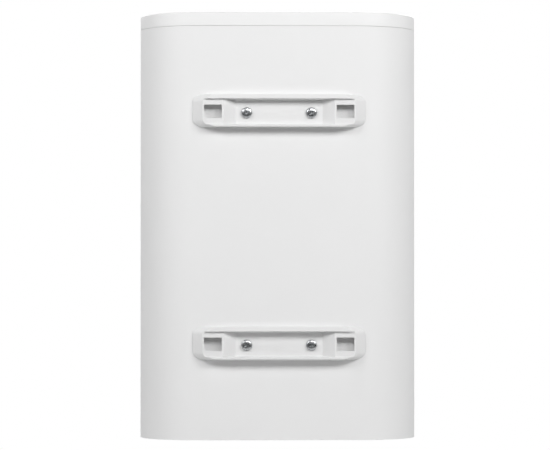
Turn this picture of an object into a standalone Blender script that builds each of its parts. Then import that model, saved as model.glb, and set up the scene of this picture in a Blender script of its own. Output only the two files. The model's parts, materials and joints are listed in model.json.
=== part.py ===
"""Flat wall-hung storage water heater with two tanks side by side.

Frame: the wall is the plane y = 0 and the heater stands off it towards -Y, so its front faces -Y.
The origin lies on the wall, midway between the two hook holes of the upper bracket. +Z is up.
All sizes are in metres.
"""

import math

import bmesh
import bpy
from mathutils import Vector

# Fits
GAP = 0.0003  # between pieces that touch
PASS_GAP = 0.0006  # radial, around a shank, a tube or a spindle
SWING_GAP = 0.0016  # around a rocker key
THROUGH = 0.010  # how far a cutter reaches past the faces that it cuts
TINY = 1e-6  # for telling whether two places are the same

# Case
CASE_WIDTH = 0.434
CASE_DEPTH = 0.255
CASE_HEIGHT = 0.664
CORNER_RADIUS = 0.095
CORNER_STEPS = 10
SHEET = 0.0015
EDGE_ROUND = 0.0016

# End caps
TOP_BAND = 0.0208
CAP_WALL = 0.0025
LIP_DEPTH = 0.005
BOTTOM_RECESS = 0.024

# Brackets
BRACKET_LENGTH = 0.268
BRACKET_HEIGHT = 0.051
BRACKET_DEPTH = 0.019
BRACKET_CORNER = 0.012
BRACKET_EDGE = 0.0015
END_SLOPE = 0.020
SIDE_DRAFT = 0.0015
PAD_LEVEL = 0.0145
PAD_SHEET = 0.0025
TRAY_HALF = 0.0185
TRAY_SLOPE = 0.002
FLOOR_LEVEL = 0.0035
FLOOR_HALF = 0.068
RAMP_LENGTH = 0.0185
HOOK_SPACING = 0.205
HOOK_HOLE_WIDTH = 0.0273
HOOK_HOLE_HEIGHT = 0.0208
HOOK_HOLE_DROP = 0.0015
TOP_TO_HOOKS = 0.155
HOOKS_TO_BOTTOM = 0.149

# Bracket screws and what they thread into
SCREW_SPACING = 0.1004
SCREW_DROP = 0.003
SCREW_RADIUS = 0.004
SCREW_HEAD_RADIUS = 0.0085
SCREW_HEAD_HEIGHT = 0.0052
SCREW_LENGTH = 0.026
RECESS_SPAN = 0.0088
RECESS_WIDTH = 0.0017
RECESS_DEPTH = 0.0032
SADDLE_HALF = 0.020
SADDLE_SHEET = 0.003
SADDLE_INSET = 0.0121  # from the start of the case's corner to the saddle's end
SADDLE_OVERHANG = 0.012  # from the saddle's end to its leg
NUT_LENGTH = 0.008
NUT_RADIUS = 0.008

# Tanks and insulation
FOAM_BACK = 0.0311
FOAM_SIDE = 0.0225
FOAM_TOP = 0.017
TANK_SPACING = 0.006
TANK_WALL = 0.0015
TANK_STEPS = 24
DOME_HEIGHT = 0.035
DOME_STEPS = 4
COMPARTMENT = 0.105
NECK_RADIUS = 0.036
NECK_LENGTH = 0.008
RIM_WIDTH = 0.008
RIM_THICKNESS = 0.003
CROSSOVER_RADIUS = 0.010
CROSSOVER_BORE = 0.0085
CROSSOVER_REACH = 0.015
CROSSOVER_DROP = 0.090

# Water connections
NIPPLE_SPACING = 0.100
NIPPLE_INSET = 0.0181  # from a tank's outer wall to the pipe's axis
NIPPLE_RADIUS = 0.01045
NIPPLE_BORE = 0.0075
NIPPLE_SHORT = 0.002
NIPPLE_SHOULDER = 0.006  # above the cap's floor
TUBE_TAPER = 0.002
THREAD_CHAMFER = 0.001
TUBE_RADIUS = 0.009
RING_RADIUS = 0.0165
RING_THICKNESS = 0.003
INLET_RISE = 0.040
OUTLET_SHORT = 0.030
DIFFUSER_RADIUS = 0.0135
DIFFUSER_HEIGHT = 0.014
DIFFUSER_WALL = 0.002
DIFFUSER_SLOT = 0.004

# Heater flanges
GASKET_THICKNESS = 0.0025
FLANGE_THICKNESS = 0.004
STUD_RADIUS = 0.004
STUD_LENGTH = 0.018
CLAMP_WIDTH = 0.018
CLAMP_THICKNESS = 0.004
CLAMP_OVERHANG = 0.004
CLAMP_ROOM = 0.007  # from the clamp bar to an element's leg
CLAMP_NUT_RADIUS = 0.0075
CLAMP_NUT_HEIGHT = 0.0065
ELEMENT_RADIUS = 0.004
ELEMENT_HALF = 0.012
ELEMENT_RISE = 0.300
ELEMENT_TAIL = 0.012
ANODE_RADIUS = 0.008
ANODE_RISE = 0.240
ANODE_ROOM = 0.0045  # from the anode to the neck's bore
ANODE_FOOT = 0.004  # above the flange
ANODE_TAIL = 0.008  # below the flange
ANODE_STUD = 0.003
POCKET_RADIUS = 0.004
POCKET_BORE = 0.003
POCKET_RISE = 0.220
POCKET_ROOM = 0.0036  # from the pocket to the neck's bore
POCKET_TURN = math.radians(42)
POCKET_CROWN = 0.001
PROBE_RADIUS = 0.0022
PROBE_RISE = 0.150
CUTOUT_WIDTH = 0.026
CUTOUT_DEPTH = 0.022
CUTOUT_HEIGHT = 0.024
CUTOUT_ROOM = 0.004  # from the anode's stud
BUTTON_RADIUS = 0.003
BUTTON_LENGTH = 0.007
BUTTON_PROUD = 0.0035
BUTTON_ROUND = 0.001

# Underside
COVER_WIDTH = 0.300
COVER_DEPTH = 0.090
COVER_ROOM = 0.0085  # from a colour ring
COVER_CORNER = 0.020
COVER_SHEET = 0.002
COVER_LAP = 0.008
COVER_SCREW_INSET = 0.005
COVER_SCREW_RADIUS = 0.0020
COVER_SCREW_HEAD = 0.0042
COVER_SCREW_CROWN = 0.0018
COVER_SCREW_POINT = 0.001
COVER_SCREW_LENGTH = 0.009
GLAND_X = 0.150
GLAND_SETBACK = 0.058
GLAND_RADIUS = 0.008
GLAND_BORE = 0.0042
GLAND_NUT_RADIUS = 0.0115
GLAND_DROP = 0.015
GLAND_COLLAR = 0.006
GLAND_RISE = 0.004
BLOCK_SIZE = (0.052, 0.020, 0.016)
BLOCK_X = 0.095
BLOCK_SETBACK = 0.088
TERMINAL_RADIUS = 0.004
TERMINAL_PITCH = 0.0158

# Control panel
PANEL_WIDTH = 0.250
PANEL_HEIGHT = 0.058
PANEL_THICKNESS = 0.004
PANEL_CORNER = 0.012
PANEL_RISE = 0.066
PANEL_LAP = 0.004
PANEL_EDGE = 0.001
KNOB_RADIUS = 0.021
KNOB_DEPTH = 0.016
KNOB_GAP = 0.001  # behind the knob
KNOB_CHAMFER = 0.0015
KNOB_SKIRT = 0.002
POINTER_WIDTH = 0.0018
POINTER_DEPTH = 0.0008
KNOB_REST_TURN = math.radians(-135)
SPINDLE_RADIUS = 0.003
SPINDLE_LENGTH = 0.022
THERMOSTAT_SIZE = 0.038
THERMOSTAT_DEPTH = 0.026
CAPILLARY_RADIUS = 0.001
CAPILLARY_BEND = 0.012
ROCKER_X = (-0.096, -0.064)
ROCKER_WIDTH = 0.016
ROCKER_HEIGHT = 0.023
ROCKER_DEPTH = 0.0065
ROCKER_PEAK = 0.0012
ROCKER_ROUND = 0.0008
ROCKER_TILT = math.radians(9)
ROCKER_PIVOT_DEPTH = 0.002
TRUNNION_RADIUS = 0.0012
TRUNNION_REACH = 0.001
HOUSING_WALL = 0.002
HOUSING_DEPTH = 0.018
HOUSING_FLANGE = 0.0015
HOUSING_LAP = 0.0015
LAMP_X = -0.040
LAMP_SPREAD = 0.012
LAMP_RADIUS = 0.003
LAMP_LENGTH = 0.012
LAMP_PROUD = 0.0025
GAUGE_X = 0.080
GAUGE_RADIUS = 0.0235
GAUGE_WALL = 0.0015
GAUGE_BEZEL = 0.0025
GAUGE_DEPTH = 0.012
DIAL_THICKNESS = 0.001
NEEDLE_LENGTH = 0.016
NEEDLE_WIDTH = 0.0016
NEEDLE_HUB = 0.0025
NEEDLE_SHAFT = 0.0008
NEEDLE_THICKNESS = 0.0008
NEEDLE_REST_TURN = math.radians(-120)
NEEDLE_LIFT = 0.001  # above the dial
LENS_SET_BACK = 0.0005
LENS_THICKNESS = 0.0015

# Places that follow from the sizes
TOP_Z = TOP_TO_HOOKS
BOTTOM_Z = TOP_Z - CASE_HEIGHT
BACK_Y = -BRACKET_DEPTH
FRONT_Y = BACK_Y - CASE_DEPTH
MID_Y = (BACK_Y + FRONT_Y) / 2
SEAM_Z = TOP_Z - TOP_BAND
HOOK_LINES = {"upper": 0.0, "lower": BOTTOM_Z + HOOKS_TO_BOTTOM}
INNER_OFFSET = SHEET + GAP
TANK_RADIUS = min(
    CASE_DEPTH / 2 - SHEET - FOAM_BACK,
    (CASE_WIDTH / 2 - SHEET - FOAM_SIDE - TANK_SPACING / 2) / 2,
)
TANK_X = TANK_RADIUS + TANK_SPACING / 2
NIPPLE_SETBACK = math.sqrt((TANK_RADIUS - NIPPLE_INSET) ** 2 - (TANK_X - NIPPLE_SPACING / 2) ** 2)
COVER_BACK_Y = MID_Y + NIPPLE_SETBACK - RING_RADIUS - COVER_ROOM
COVER_MID_Y = COVER_BACK_Y - COVER_DEPTH / 2
NECK_BORE = NECK_RADIUS - TANK_WALL
RIM_RADIUS = NECK_RADIUS + RIM_WIDTH
ELEMENT_OFFSET = CLAMP_WIDTH / 2 + CLAMP_ROOM + ELEMENT_RADIUS
ANODE_OFFSET = NECK_BORE - ANODE_ROOM - ANODE_RADIUS
POCKET_OFFSET = NECK_BORE - POCKET_ROOM - POCKET_RADIUS
TANK_BOTTOM = BOTTOM_Z + COMPARTMENT
SADDLE_REACH = CASE_WIDTH / 2 - CORNER_RADIUS - SADDLE_INSET
FOAM_TOP_Z = SEAM_Z - LIP_DEPTH - GAP
TANK_TOP = FOAM_TOP_Z - FOAM_TOP
RIM_BOTTOM = TANK_BOTTOM - NECK_LENGTH - RIM_THICKNESS
GASKET_BOTTOM = RIM_BOTTOM - GAP - GASKET_THICKNESS
FLANGE_TOP = GASKET_BOTTOM - GAP
FLANGE_BOTTOM = FLANGE_TOP - FLANGE_THICKNESS
CLAMP_TOP = FLANGE_BOTTOM - GAP
NUT_TOP = CLAMP_TOP - CLAMP_THICKNESS - GAP
FLOOR_UNDER = BOTTOM_Z + BOTTOM_RECESS
FLOOR_TOP = FLOOR_UNDER + CAP_WALL
NIPPLE_END = BOTTOM_Z + NIPPLE_SHORT
PANEL_Z = BOTTOM_Z + PANEL_RISE
PANEL_BACK = FRONT_Y - GAP
PANEL_FRONT = PANEL_BACK - PANEL_THICKNESS
KNOB_BACK = PANEL_FRONT - KNOB_GAP
SIDES = {"left": -1, "right": 1}

OBJECT_NAME = "water_heater"


def clear_scene():
    for obj in list(bpy.data.objects):
        bpy.data.objects.remove(obj, do_unlink=True)


def new_collection(name):
    made = bpy.data.collections.new(name)
    bpy.context.scene.collection.children.link(made)
    return made


def new_material(name, colour, roughness, metallic=0.0, alpha=1.0):
    made = bpy.data.materials.new(name)
    made.use_nodes = True
    shader = made.node_tree.nodes["Principled BSDF"]
    shader.inputs["Base Color"].default_value = (*colour, 1.0)
    shader.inputs["Roughness"].default_value = roughness
    shader.inputs["Metallic"].default_value = metallic
    shader.inputs["Alpha"].default_value = alpha
    made.diffuse_color = (*colour, alpha)
    return made


clear_scene()
PARTS = new_collection(OBJECT_NAME)
CUTTERS = new_collection("cutters")
CUTTERS.hide_render = True

ASSEMBLY = bpy.data.objects.new("assembly", None)
PARTS.objects.link(ASSEMBLY)

MATERIALS = {
    "case_paint": new_material("case_paint", (0.80, 0.80, 0.79), 0.45),
    "cap_plastic": new_material("cap_plastic", (0.78, 0.78, 0.77), 0.5),
    "bracket_paint": new_material("bracket_paint", (0.82, 0.82, 0.81), 0.4),
    "screw_steel": new_material("screw_steel", (0.55, 0.55, 0.56), 0.25, 1.0),
    "galvanised": new_material("galvanised", (0.50, 0.52, 0.53), 0.45, 1.0),
    "stainless": new_material("stainless", (0.60, 0.60, 0.60), 0.3, 1.0),
    "foam": new_material("foam", (0.75, 0.62, 0.38), 0.95),
    "rubber": new_material("rubber", (0.03, 0.03, 0.03), 0.8),
    "copper": new_material("copper", (0.72, 0.36, 0.22), 0.35, 1.0),
    "magnesium": new_material("magnesium", (0.45, 0.45, 0.44), 0.6, 1.0),
    "panel_plastic": new_material("panel_plastic", (0.16, 0.17, 0.18), 0.35),
    "knob_plastic": new_material("knob_plastic", (0.70, 0.71, 0.71), 0.3),
    "black_plastic": new_material("black_plastic", (0.03, 0.03, 0.03), 0.4),
    "blue_plastic": new_material("blue_plastic", (0.05, 0.16, 0.55), 0.4),
    "red_plastic": new_material("red_plastic", (0.60, 0.05, 0.04), 0.4),
    "lamp_red": new_material("lamp_red", (0.70, 0.08, 0.05), 0.2),
    "lamp_green": new_material("lamp_green", (0.10, 0.50, 0.15), 0.2),
    "dial_white": new_material("dial_white", (0.85, 0.85, 0.83), 0.6),
    "needle_red": new_material("needle_red", (0.65, 0.06, 0.04), 0.4),
    "lens_clear": new_material("lens_clear", (0.90, 0.92, 0.92), 0.05, 0.0, 0.35),
    "white_ceramic": new_material("white_ceramic", (0.82, 0.80, 0.75), 0.5),
}


def add_object(name, mesh, place=(0, 0, 0), turn=(0, 0, 0), material=None):
    """A mesh as a part with a material, or as a cutter without one."""
    obj = bpy.data.objects.new(name, mesh)
    obj.location = place
    obj.rotation_euler = turn
    if material is None:
        CUTTERS.objects.link(obj)
        obj.hide_render = True
        obj.display_type = "WIRE"
        return obj
    PARTS.objects.link(obj)
    obj.parent = ASSEMBLY
    obj.data.materials.append(MATERIALS[material])
    return obj


def mesh_from(bm, name):
    mesh = bpy.data.meshes.new(name)
    bm.to_mesh(mesh)
    bm.free()
    return mesh


def box_bmesh(low, high):
    """A cube stretched between two corners."""
    bm = bmesh.new()
    bmesh.ops.create_cube(bm, size=1.0)
    low, high = Vector(low), Vector(high)
    bmesh.ops.scale(bm, vec=high - low, verts=bm.verts)
    bmesh.ops.translate(bm, vec=(low + high) / 2, verts=bm.verts)
    return bm


def edges_along(bm, axis):
    """The edges that run along an axis, 0, 1 or 2."""
    others = [i for i in range(3) if i != axis]
    return [
        edge
        for edge in bm.edges
        if all(abs(edge.verts[0].co[i] - edge.verts[1].co[i]) < TINY for i in others)
    ]


def edges_at(bm, axis, level):
    """The edges that lie in the plane where a coordinate has this value."""
    return [e for e in bm.edges if all(abs(v.co[axis] - level) < TINY for v in e.verts)]


def round_edges(bm, edges, radius, steps):
    bmesh.ops.bevel(
        bm, geom=edges, offset=radius, segments=steps, profile=0.5, affect="EDGES", clamp_overlap=True
    )


def box(name, low, high, material=None, corner=0.0, axis=2, steps=3, place=(0, 0, 0), turn=(0, 0, 0)):
    """A box between two corners, with the edges along one axis rounded."""
    bm = box_bmesh(low, high)
    if corner:
        round_edges(bm, edges_along(bm, axis), corner, steps)
    return add_object(name, mesh_from(bm, name), place, turn, material)


def frustum(name, near, far, level_near, level_far, material=None, place=(0, 0, 0)):
    """A block along y whose half sizes (x, z) change from one level to the other."""
    bm = box_bmesh((-near[0], level_near, -near[1]), (near[0], level_far, near[1]))
    for vert in bm.verts:
        if abs(vert.co.y - level_far) < TINY:
            vert.co.x = math.copysign(far[0], vert.co.x)
            vert.co.z = math.copysign(far[1], vert.co.z)
    return add_object(name, mesh_from(bm, name), place, material=material)


def oval_bmesh(inset, low_z, high_z):
    """The plan outline of the case, set in by a distance, as a prism."""
    half_x = CASE_WIDTH / 2 - inset
    half_y = CASE_DEPTH / 2 - inset
    bm = box_bmesh((-half_x, MID_Y - half_y, low_z), (half_x, MID_Y + half_y, high_z))
    round_edges(bm, edges_along(bm, 2), CORNER_RADIUS - inset, CORNER_STEPS)
    return bm


def add_solidify(obj, thickness, offset=-1.0):
    wall = obj.modifiers.new("wall", "SOLIDIFY")
    wall.thickness = thickness
    wall.offset = offset
    wall.use_even_offset = True


def combine(obj, other, operation):
    step = obj.modifiers.new(operation.lower(), "BOOLEAN")
    step.operation = operation
    step.object = other
    step.solver = "EXACT"


def cut(obj, *cutters):
    for cutter in cutters:
        combine(obj, cutter, "DIFFERENCE")


def join(obj, *others):
    for other in others:
        combine(obj, other, "UNION")


AXIS_TURNS = {
    "+Z": (0, 0, 0),
    "+X": (0, math.radians(90), 0),
    "+Y": (math.radians(-90), 0, 0),
    "-Y": (math.radians(90), 0, 0),
}


def turned(name, profile, place=(0, 0, 0), axis="+Z", steps=20, material=None, spin=0.0):
    """A solid of revolution. The profile lists (radius, height) down its outer side."""
    mesh = bpy.data.meshes.new(name)
    points = [(radius, 0.0, height) for radius, height in profile]
    count = len(points)
    closed = profile[0][0] > 0
    edges = [(i, (i + 1) % count) for i in range(count if closed else count - 1)]
    mesh.from_pydata(points, edges, [])
    obj = add_object(name, mesh, place, AXIS_TURNS[axis], material)
    screw = obj.modifiers.new("turn", "SCREW")
    screw.axis = "Z"
    screw.angle = math.tau
    screw.steps = steps
    screw.render_steps = steps
    screw.use_merge_vertices = True
    screw.merge_threshold = 10 * TINY
    screw.use_smooth_shade = True
    if spin:
        obj.rotation_euler.rotate_axis("Z", spin)
    return obj


def rod_profile(radius, low, high):
    return [(0, high), (radius, high), (radius, low), (0, low)]


def tube_profile(radius, bore, low, high):
    return [(radius, high), (radius, low), (bore, low), (bore, high)]


def cylinder(name, radius, low, high, place=(0, 0, 0), axis="+Z", steps=20, material=None):
    return turned(name, rod_profile(radius, low, high), place, axis, steps, material)


def drill(obj, name, radius, place, steps=20, low=FLOOR_UNDER, high=FLOOR_TOP):
    """Cuts an upright hole through what lies between two levels."""
    cut(obj, cylinder(name, radius, low - THROUGH, high + THROUGH, place, steps=steps))


def half_casing(name, side, material):
    """One half of the painted wrapper. side is +1 for the wall half and -1 for the front half."""
    bm = oval_bmesh(0.0, BOTTOM_Z, SEAM_Z - GAP)
    ends = [face for face in bm.faces if abs(face.normal.z) > 0.5]
    bmesh.ops.delete(bm, geom=ends, context="FACES")
    plane = Vector((0, MID_Y + side * GAP / 2, 0))
    bmesh.ops.bisect_plane(
        bm,
        geom=bm.verts[:] + bm.edges[:] + bm.faces[:],
        plane_co=plane,
        plane_no=(0, side, 0),
        clear_inner=True,
    )
    obj = add_object(name, mesh_from(bm, name), material=material)
    add_solidify(obj, SHEET)
    return obj


def rear_casing():
    casing = half_casing("rear_casing", 1, "case_paint")
    for level in HOOK_LINES:
        for side in SIDES:
            hole = screw_hole(f"case_hole_{level}_{side}", level, side, PASS_GAP, SHEET)
            cut(casing, hole)


def front_casing():
    casing = half_casing("front_casing", -1, "case_paint")
    half_x = PANEL_WIDTH / 2 - PANEL_LAP
    half_z = PANEL_HEIGHT / 2 - PANEL_LAP
    opening = box(
        "panel_opening",
        (-half_x, FRONT_Y - SHEET, PANEL_Z - half_z),
        (half_x, FRONT_Y + 3 * SHEET, PANEL_Z + half_z),
        corner=PANEL_CORNER - PANEL_LAP,
        axis=1,
    )
    cut(casing, opening)


def open_tray(name, bm, open_z, wall, material):
    """A prism opened at one end and given a wall, as a moulded cap is."""
    ends = [f for f in bm.faces if abs(f.calc_center_median().z - open_z) < TINY]
    bmesh.ops.delete(bm, geom=ends, context="FACES")
    obj = add_object(name, mesh_from(bm, name), material=material)
    add_solidify(obj, wall)
    return obj


def top_cap():
    bm = oval_bmesh(0.0, SEAM_Z, TOP_Z)
    round_edges(bm, edges_at(bm, 2, TOP_Z), EDGE_ROUND, 2)
    cap = open_tray("top_cap", bm, SEAM_Z, CAP_WALL, "cap_plastic")
    lip_bm = oval_bmesh(INNER_OFFSET, SEAM_Z - LIP_DEPTH, SEAM_Z + LIP_DEPTH)
    ends = [face for face in lip_bm.faces if abs(face.normal.z) > 0.5]
    bmesh.ops.delete(lip_bm, geom=ends, context="FACES")
    lip = add_object("cap_lip", mesh_from(lip_bm, "cap_lip"))
    add_solidify(lip, CAP_WALL)
    join(cap, lip)


def bottom_cap():
    bm = oval_bmesh(INNER_OFFSET, BOTTOM_Z, FLOOR_TOP)
    cap = open_tray("bottom_cap", bm, BOTTOM_Z, CAP_WALL, "cap_plastic")
    for side, sign in SIDES.items():
        drill(cap, f"cap_hole_{side}", NIPPLE_RADIUS + PASS_GAP, nipple_place(sign))
    drill(cap, "gland_hole", GLAND_RADIUS + PASS_GAP, gland_place())
    half_x = COVER_WIDTH / 2 - COVER_LAP
    half_y = COVER_DEPTH / 2 - COVER_LAP
    service = box(
        "service_opening",
        (-half_x, COVER_MID_Y - half_y, FLOOR_UNDER - THROUGH),
        (half_x, COVER_MID_Y + half_y, FLOOR_TOP + THROUGH),
        corner=COVER_CORNER - COVER_LAP,
    )
    cut(cap, service)
    for index, (x, y) in enumerate(cover_screw_places()):
        drill(cap, f"cap_pilot_{index}", COVER_SCREW_RADIUS + GAP, (x, y, 0), 12)


def cover_screw_places():
    reach_x = COVER_WIDTH / 2 - COVER_SCREW_INSET
    reach_y = COVER_DEPTH / 2 - COVER_CORNER
    return [(sx * reach_x, COVER_MID_Y + sy * reach_y) for sx in (-1, 1) for sy in (-1, 1)]


def service_cover():
    half_x = COVER_WIDTH / 2
    half_y = COVER_DEPTH / 2
    top = FLOOR_UNDER - GAP
    cover = box(
        "service_cover",
        (-half_x, COVER_MID_Y - half_y, top - COVER_SHEET),
        (half_x, COVER_MID_Y + half_y, top),
        "cap_plastic",
        corner=COVER_CORNER,
        steps=5,
    )
    for index, (x, y) in enumerate(cover_screw_places()):
        drill(cover, f"cover_hole_{index}", COVER_SCREW_RADIUS + GAP, (x, y, 0), 12)
        cover_screw(index + 1, (x, y, top - COVER_SHEET - GAP))


def cover_screw(number, place):
    profile = [
        (0, COVER_SCREW_LENGTH),
        (COVER_SCREW_RADIUS * 0.6, COVER_SCREW_LENGTH),
        (COVER_SCREW_RADIUS, COVER_SCREW_LENGTH - COVER_SCREW_POINT),
        (COVER_SCREW_RADIUS, 0),
        (COVER_SCREW_HEAD, 0),
        (COVER_SCREW_HEAD * 0.85, -COVER_SCREW_CROWN * 0.8),
        (0, -COVER_SCREW_CROWN),
    ]
    turned(f"cover_screw_{number}", profile, place, steps=14, material="screw_steel")


def bracket_centre(level):
    return HOOK_LINES[level] + HOOK_HOLE_DROP


def screw_place(level, side):
    """Where a bracket screw's axis meets the back of the case."""
    return (SIDES[side] * SCREW_SPACING / 2, BACK_Y, bracket_centre(level) - SCREW_DROP)


def screw_hole(name, level, side, clearance, depth):
    reach = 2 * depth
    return cylinder(
        name, SCREW_RADIUS + clearance, -reach, reach, screw_place(level, side), axis="-Y", steps=16
    )


def wall_bracket(level):
    """A pressed tray that the wall hooks enter: raised pads at its ends and a floor screwed to the case."""
    name = f"{level}_wall_bracket"
    place = (0, BACK_Y, bracket_centre(level))
    half_x, half_z = BRACKET_LENGTH / 2, BRACKET_HEIGHT / 2
    bm = box_bmesh((-half_x, GAP, -half_z), (half_x, BRACKET_DEPTH, half_z))
    for vert in bm.verts:
        if vert.co.y > BRACKET_DEPTH / 2:
            vert.co.x = math.copysign(half_x - END_SLOPE, vert.co.x)
            vert.co.z = math.copysign(half_z - SIDE_DRAFT, vert.co.z)
    slanted = [e for e in bm.edges if abs(e.verts[0].co.y - e.verts[1].co.y) > BRACKET_DEPTH / 2]
    round_edges(bm, slanted, BRACKET_CORNER, 5)
    round_edges(bm, edges_at(bm, 1, BRACKET_DEPTH), BRACKET_EDGE, 2)
    bracket = add_object(name, mesh_from(bm, name), place, material="bracket_paint")
    cut(bracket, *bracket_cutters(level, place))


def bracket_cutters(level, place):
    above = BRACKET_DEPTH + THROUGH / 2
    tray_grow = TRAY_SLOPE * (above - PAD_LEVEL) / (BRACKET_DEPTH - PAD_LEVEL)
    tray = frustum(
        f"tray_{level}",
        (BRACKET_LENGTH, TRAY_HALF),
        (BRACKET_LENGTH, TRAY_HALF + tray_grow),
        PAD_LEVEL,
        above,
        place=place,
    )
    share = (above - FLOOR_LEVEL) / (PAD_LEVEL - FLOOR_LEVEL)
    middle = frustum(
        f"middle_{level}",
        (FLOOR_HALF, TRAY_HALF - SIDE_DRAFT),
        (FLOOR_HALF + RAMP_LENGTH * share, TRAY_HALF + SIDE_DRAFT * (share - 1)),
        FLOOR_LEVEL,
        above,
        place=place,
    )
    cutters = [middle, tray]
    for side, sign in SIDES.items():
        low_x = FLOOR_HALF + RAMP_LENGTH
        high_x = BRACKET_LENGTH / 2 - END_SLOPE + PAD_SHEET
        xs = sorted((sign * low_x, sign * high_x))
        hollow = box(
            f"hollow_{level}_{side}",
            (xs[0], -PAD_SHEET, -TRAY_HALF),
            (xs[1], PAD_LEVEL - PAD_SHEET, TRAY_HALF),
            place=place,
        )
        centre = sign * HOOK_SPACING / 2
        hook_hole = box(
            f"hook_hole_{level}_{side}",
            (centre - HOOK_HOLE_WIDTH / 2, 0, -HOOK_HOLE_DROP - HOOK_HOLE_HEIGHT / 2),
            (centre + HOOK_HOLE_WIDTH / 2, above, -HOOK_HOLE_DROP + HOOK_HOLE_HEIGHT / 2),
            place=place,
        )
        shank = screw_hole(f"bracket_hole_{level}_{side}", level, side, PASS_GAP, FLOOR_LEVEL)
        cutters += [hollow, hook_hole, shank]
    return cutters


def bracket_screw(level, side):
    """A pan head with a cross recess, and a shank that reaches the nut inside."""
    x, y, z = screw_place(level, side)
    seat = FLOOR_LEVEL + GAP
    radius = SCREW_HEAD_RADIUS
    height = SCREW_HEAD_HEIGHT
    profile = [
        (0, -height),
        (radius * 0.62, -height * 0.94),
        (radius * 0.86, -height * 0.74),
        (radius * 0.98, -height * 0.42),
        (radius, 0),
        (SCREW_RADIUS, 0),
        (SCREW_RADIUS, SCREW_LENGTH - THREAD_CHAMFER),
        (SCREW_RADIUS - THREAD_CHAMFER, SCREW_LENGTH),
        (0, SCREW_LENGTH),
    ]
    profile = [(r, -h) for r, h in profile]
    name = f"bracket_screw_{level}_{side}"
    screw = turned(name, profile, (x, y + seat, z), axis="+Y", steps=20, material="screw_steel")
    for number, (half_x, half_z) in enumerate(
        ((RECESS_SPAN / 2, RECESS_WIDTH / 2), (RECESS_WIDTH / 2, RECESS_SPAN / 2))
    ):
        low_y = seat + height - RECESS_DEPTH
        slot = box(
            f"recess_{level}_{side}_{number}",
            (-half_x, low_y, -half_z),
            (half_x, low_y + 2 * RECESS_DEPTH, half_z),
            place=(x, y, z),
        )
        cut(screw, slot)


def saddle(level):
    """A channel in the foam that carries the bracket screws' nuts to the tanks."""
    centre = bracket_centre(level)
    web_back = BACK_Y - SHEET - GAP
    web_front = web_back - SADDLE_SHEET
    plate = box(
        f"{level}_saddle",
        (-SADDLE_REACH, web_front, centre - SADDLE_HALF),
        (SADDLE_REACH, web_back, centre + SADDLE_HALF),
        "galvanised",
    )
    leg_x = SADDLE_REACH - SADDLE_OVERHANG
    off_centre = max(0.0, abs(leg_x - TANK_X) - SADDLE_SHEET / 2)
    foot_y = MID_Y + math.sqrt(TANK_RADIUS**2 - off_centre**2) + GAP
    for side, sign in SIDES.items():
        x = sign * leg_x
        leg = box(
            f"saddle_leg_{level}_{side}",
            (x - SADDLE_SHEET / 2, foot_y, centre - SADDLE_HALF + GAP),
            (x + SADDLE_SHEET / 2, web_front + SADDLE_SHEET / 2, centre + SADDLE_HALF - GAP),
        )
        place = screw_place(level, side)
        nut = cylinder(
            f"weld_nut_{level}_{side}",
            NUT_RADIUS,
            place[1] - web_front - SADDLE_SHEET / 2,
            place[1] - web_front + NUT_LENGTH,
            place,
            axis="-Y",
            steps=6,
        )
        join(plate, leg, nut)
    for side in SIDES:
        cut(plate, screw_hole(f"saddle_hole_{level}_{side}", level, side, GAP, SCREW_LENGTH))


def ellipse_arc(radius, height, start, end, steps):
    """Points on a quarter ellipse. Angles are from the axis."""
    angles = [start + (end - start) * i / steps for i in range(steps + 1)]
    return [(radius * math.sin(a), height * math.cos(a)) for a in angles]


def tank_outline(grow):
    """The outer side of a tank from its top pole down to its neck."""
    radius = TANK_RADIUS + grow
    height = DOME_HEIGHT + grow
    neck = math.asin((NECK_RADIUS + grow) / radius)
    quarter = math.radians(90)
    top = ellipse_arc(radius, height, 0, quarter, DOME_STEPS)
    low = ellipse_arc(radius, height, quarter, neck, DOME_STEPS)
    upper = [(r, TANK_TOP - DOME_HEIGHT + z) for r, z in top]
    lower = [(r, TANK_BOTTOM + DOME_HEIGHT - z) for r, z in low]
    return upper + lower


def tank(side):
    """A domed pressure vessel with a flanged neck below."""
    outside = tank_outline(0.0)
    inside = tank_outline(-TANK_WALL)
    neck_low = TANK_BOTTOM - NECK_LENGTH
    rim = [
        (NECK_RADIUS, neck_low),
        (RIM_RADIUS, neck_low),
        (RIM_RADIUS, RIM_BOTTOM),
        (NECK_BORE, RIM_BOTTOM),
    ]
    profile = outside + rim + inside[::-1]
    place = (SIDES[side] * TANK_X, MID_Y, 0)
    vessel = turned(f"{side}_tank", profile, place, steps=TANK_STEPS, material="stainless")
    cut(vessel, pipe_hole(f"tank_hole_{side}", SIDES[side]), crossover_hole(f"tank_cross_{side}"))


def pipe_hole(name, sign):
    """The way of a water pipe up into a tank's lower dome."""
    return cylinder(name, TUBE_RADIUS + PASS_GAP, BOTTOM_Z, TANK_BOTTOM + DOME_HEIGHT, nipple_place(sign))


def crossover_place():
    return (0, MID_Y, TANK_TOP - CROSSOVER_DROP)


def crossover_hole(name):
    reach = TANK_SPACING / 2 + CROSSOVER_REACH
    return cylinder(name, CROSSOVER_RADIUS + PASS_GAP, -reach, reach, crossover_place(), axis="+X")


def crossover_pipe():
    reach = TANK_SPACING / 2 + CROSSOVER_REACH
    profile = tube_profile(CROSSOVER_RADIUS, CROSSOVER_BORE, -reach, reach)
    turned("crossover_pipe", profile, crossover_place(), axis="+X", steps=16, material="stainless")


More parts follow.
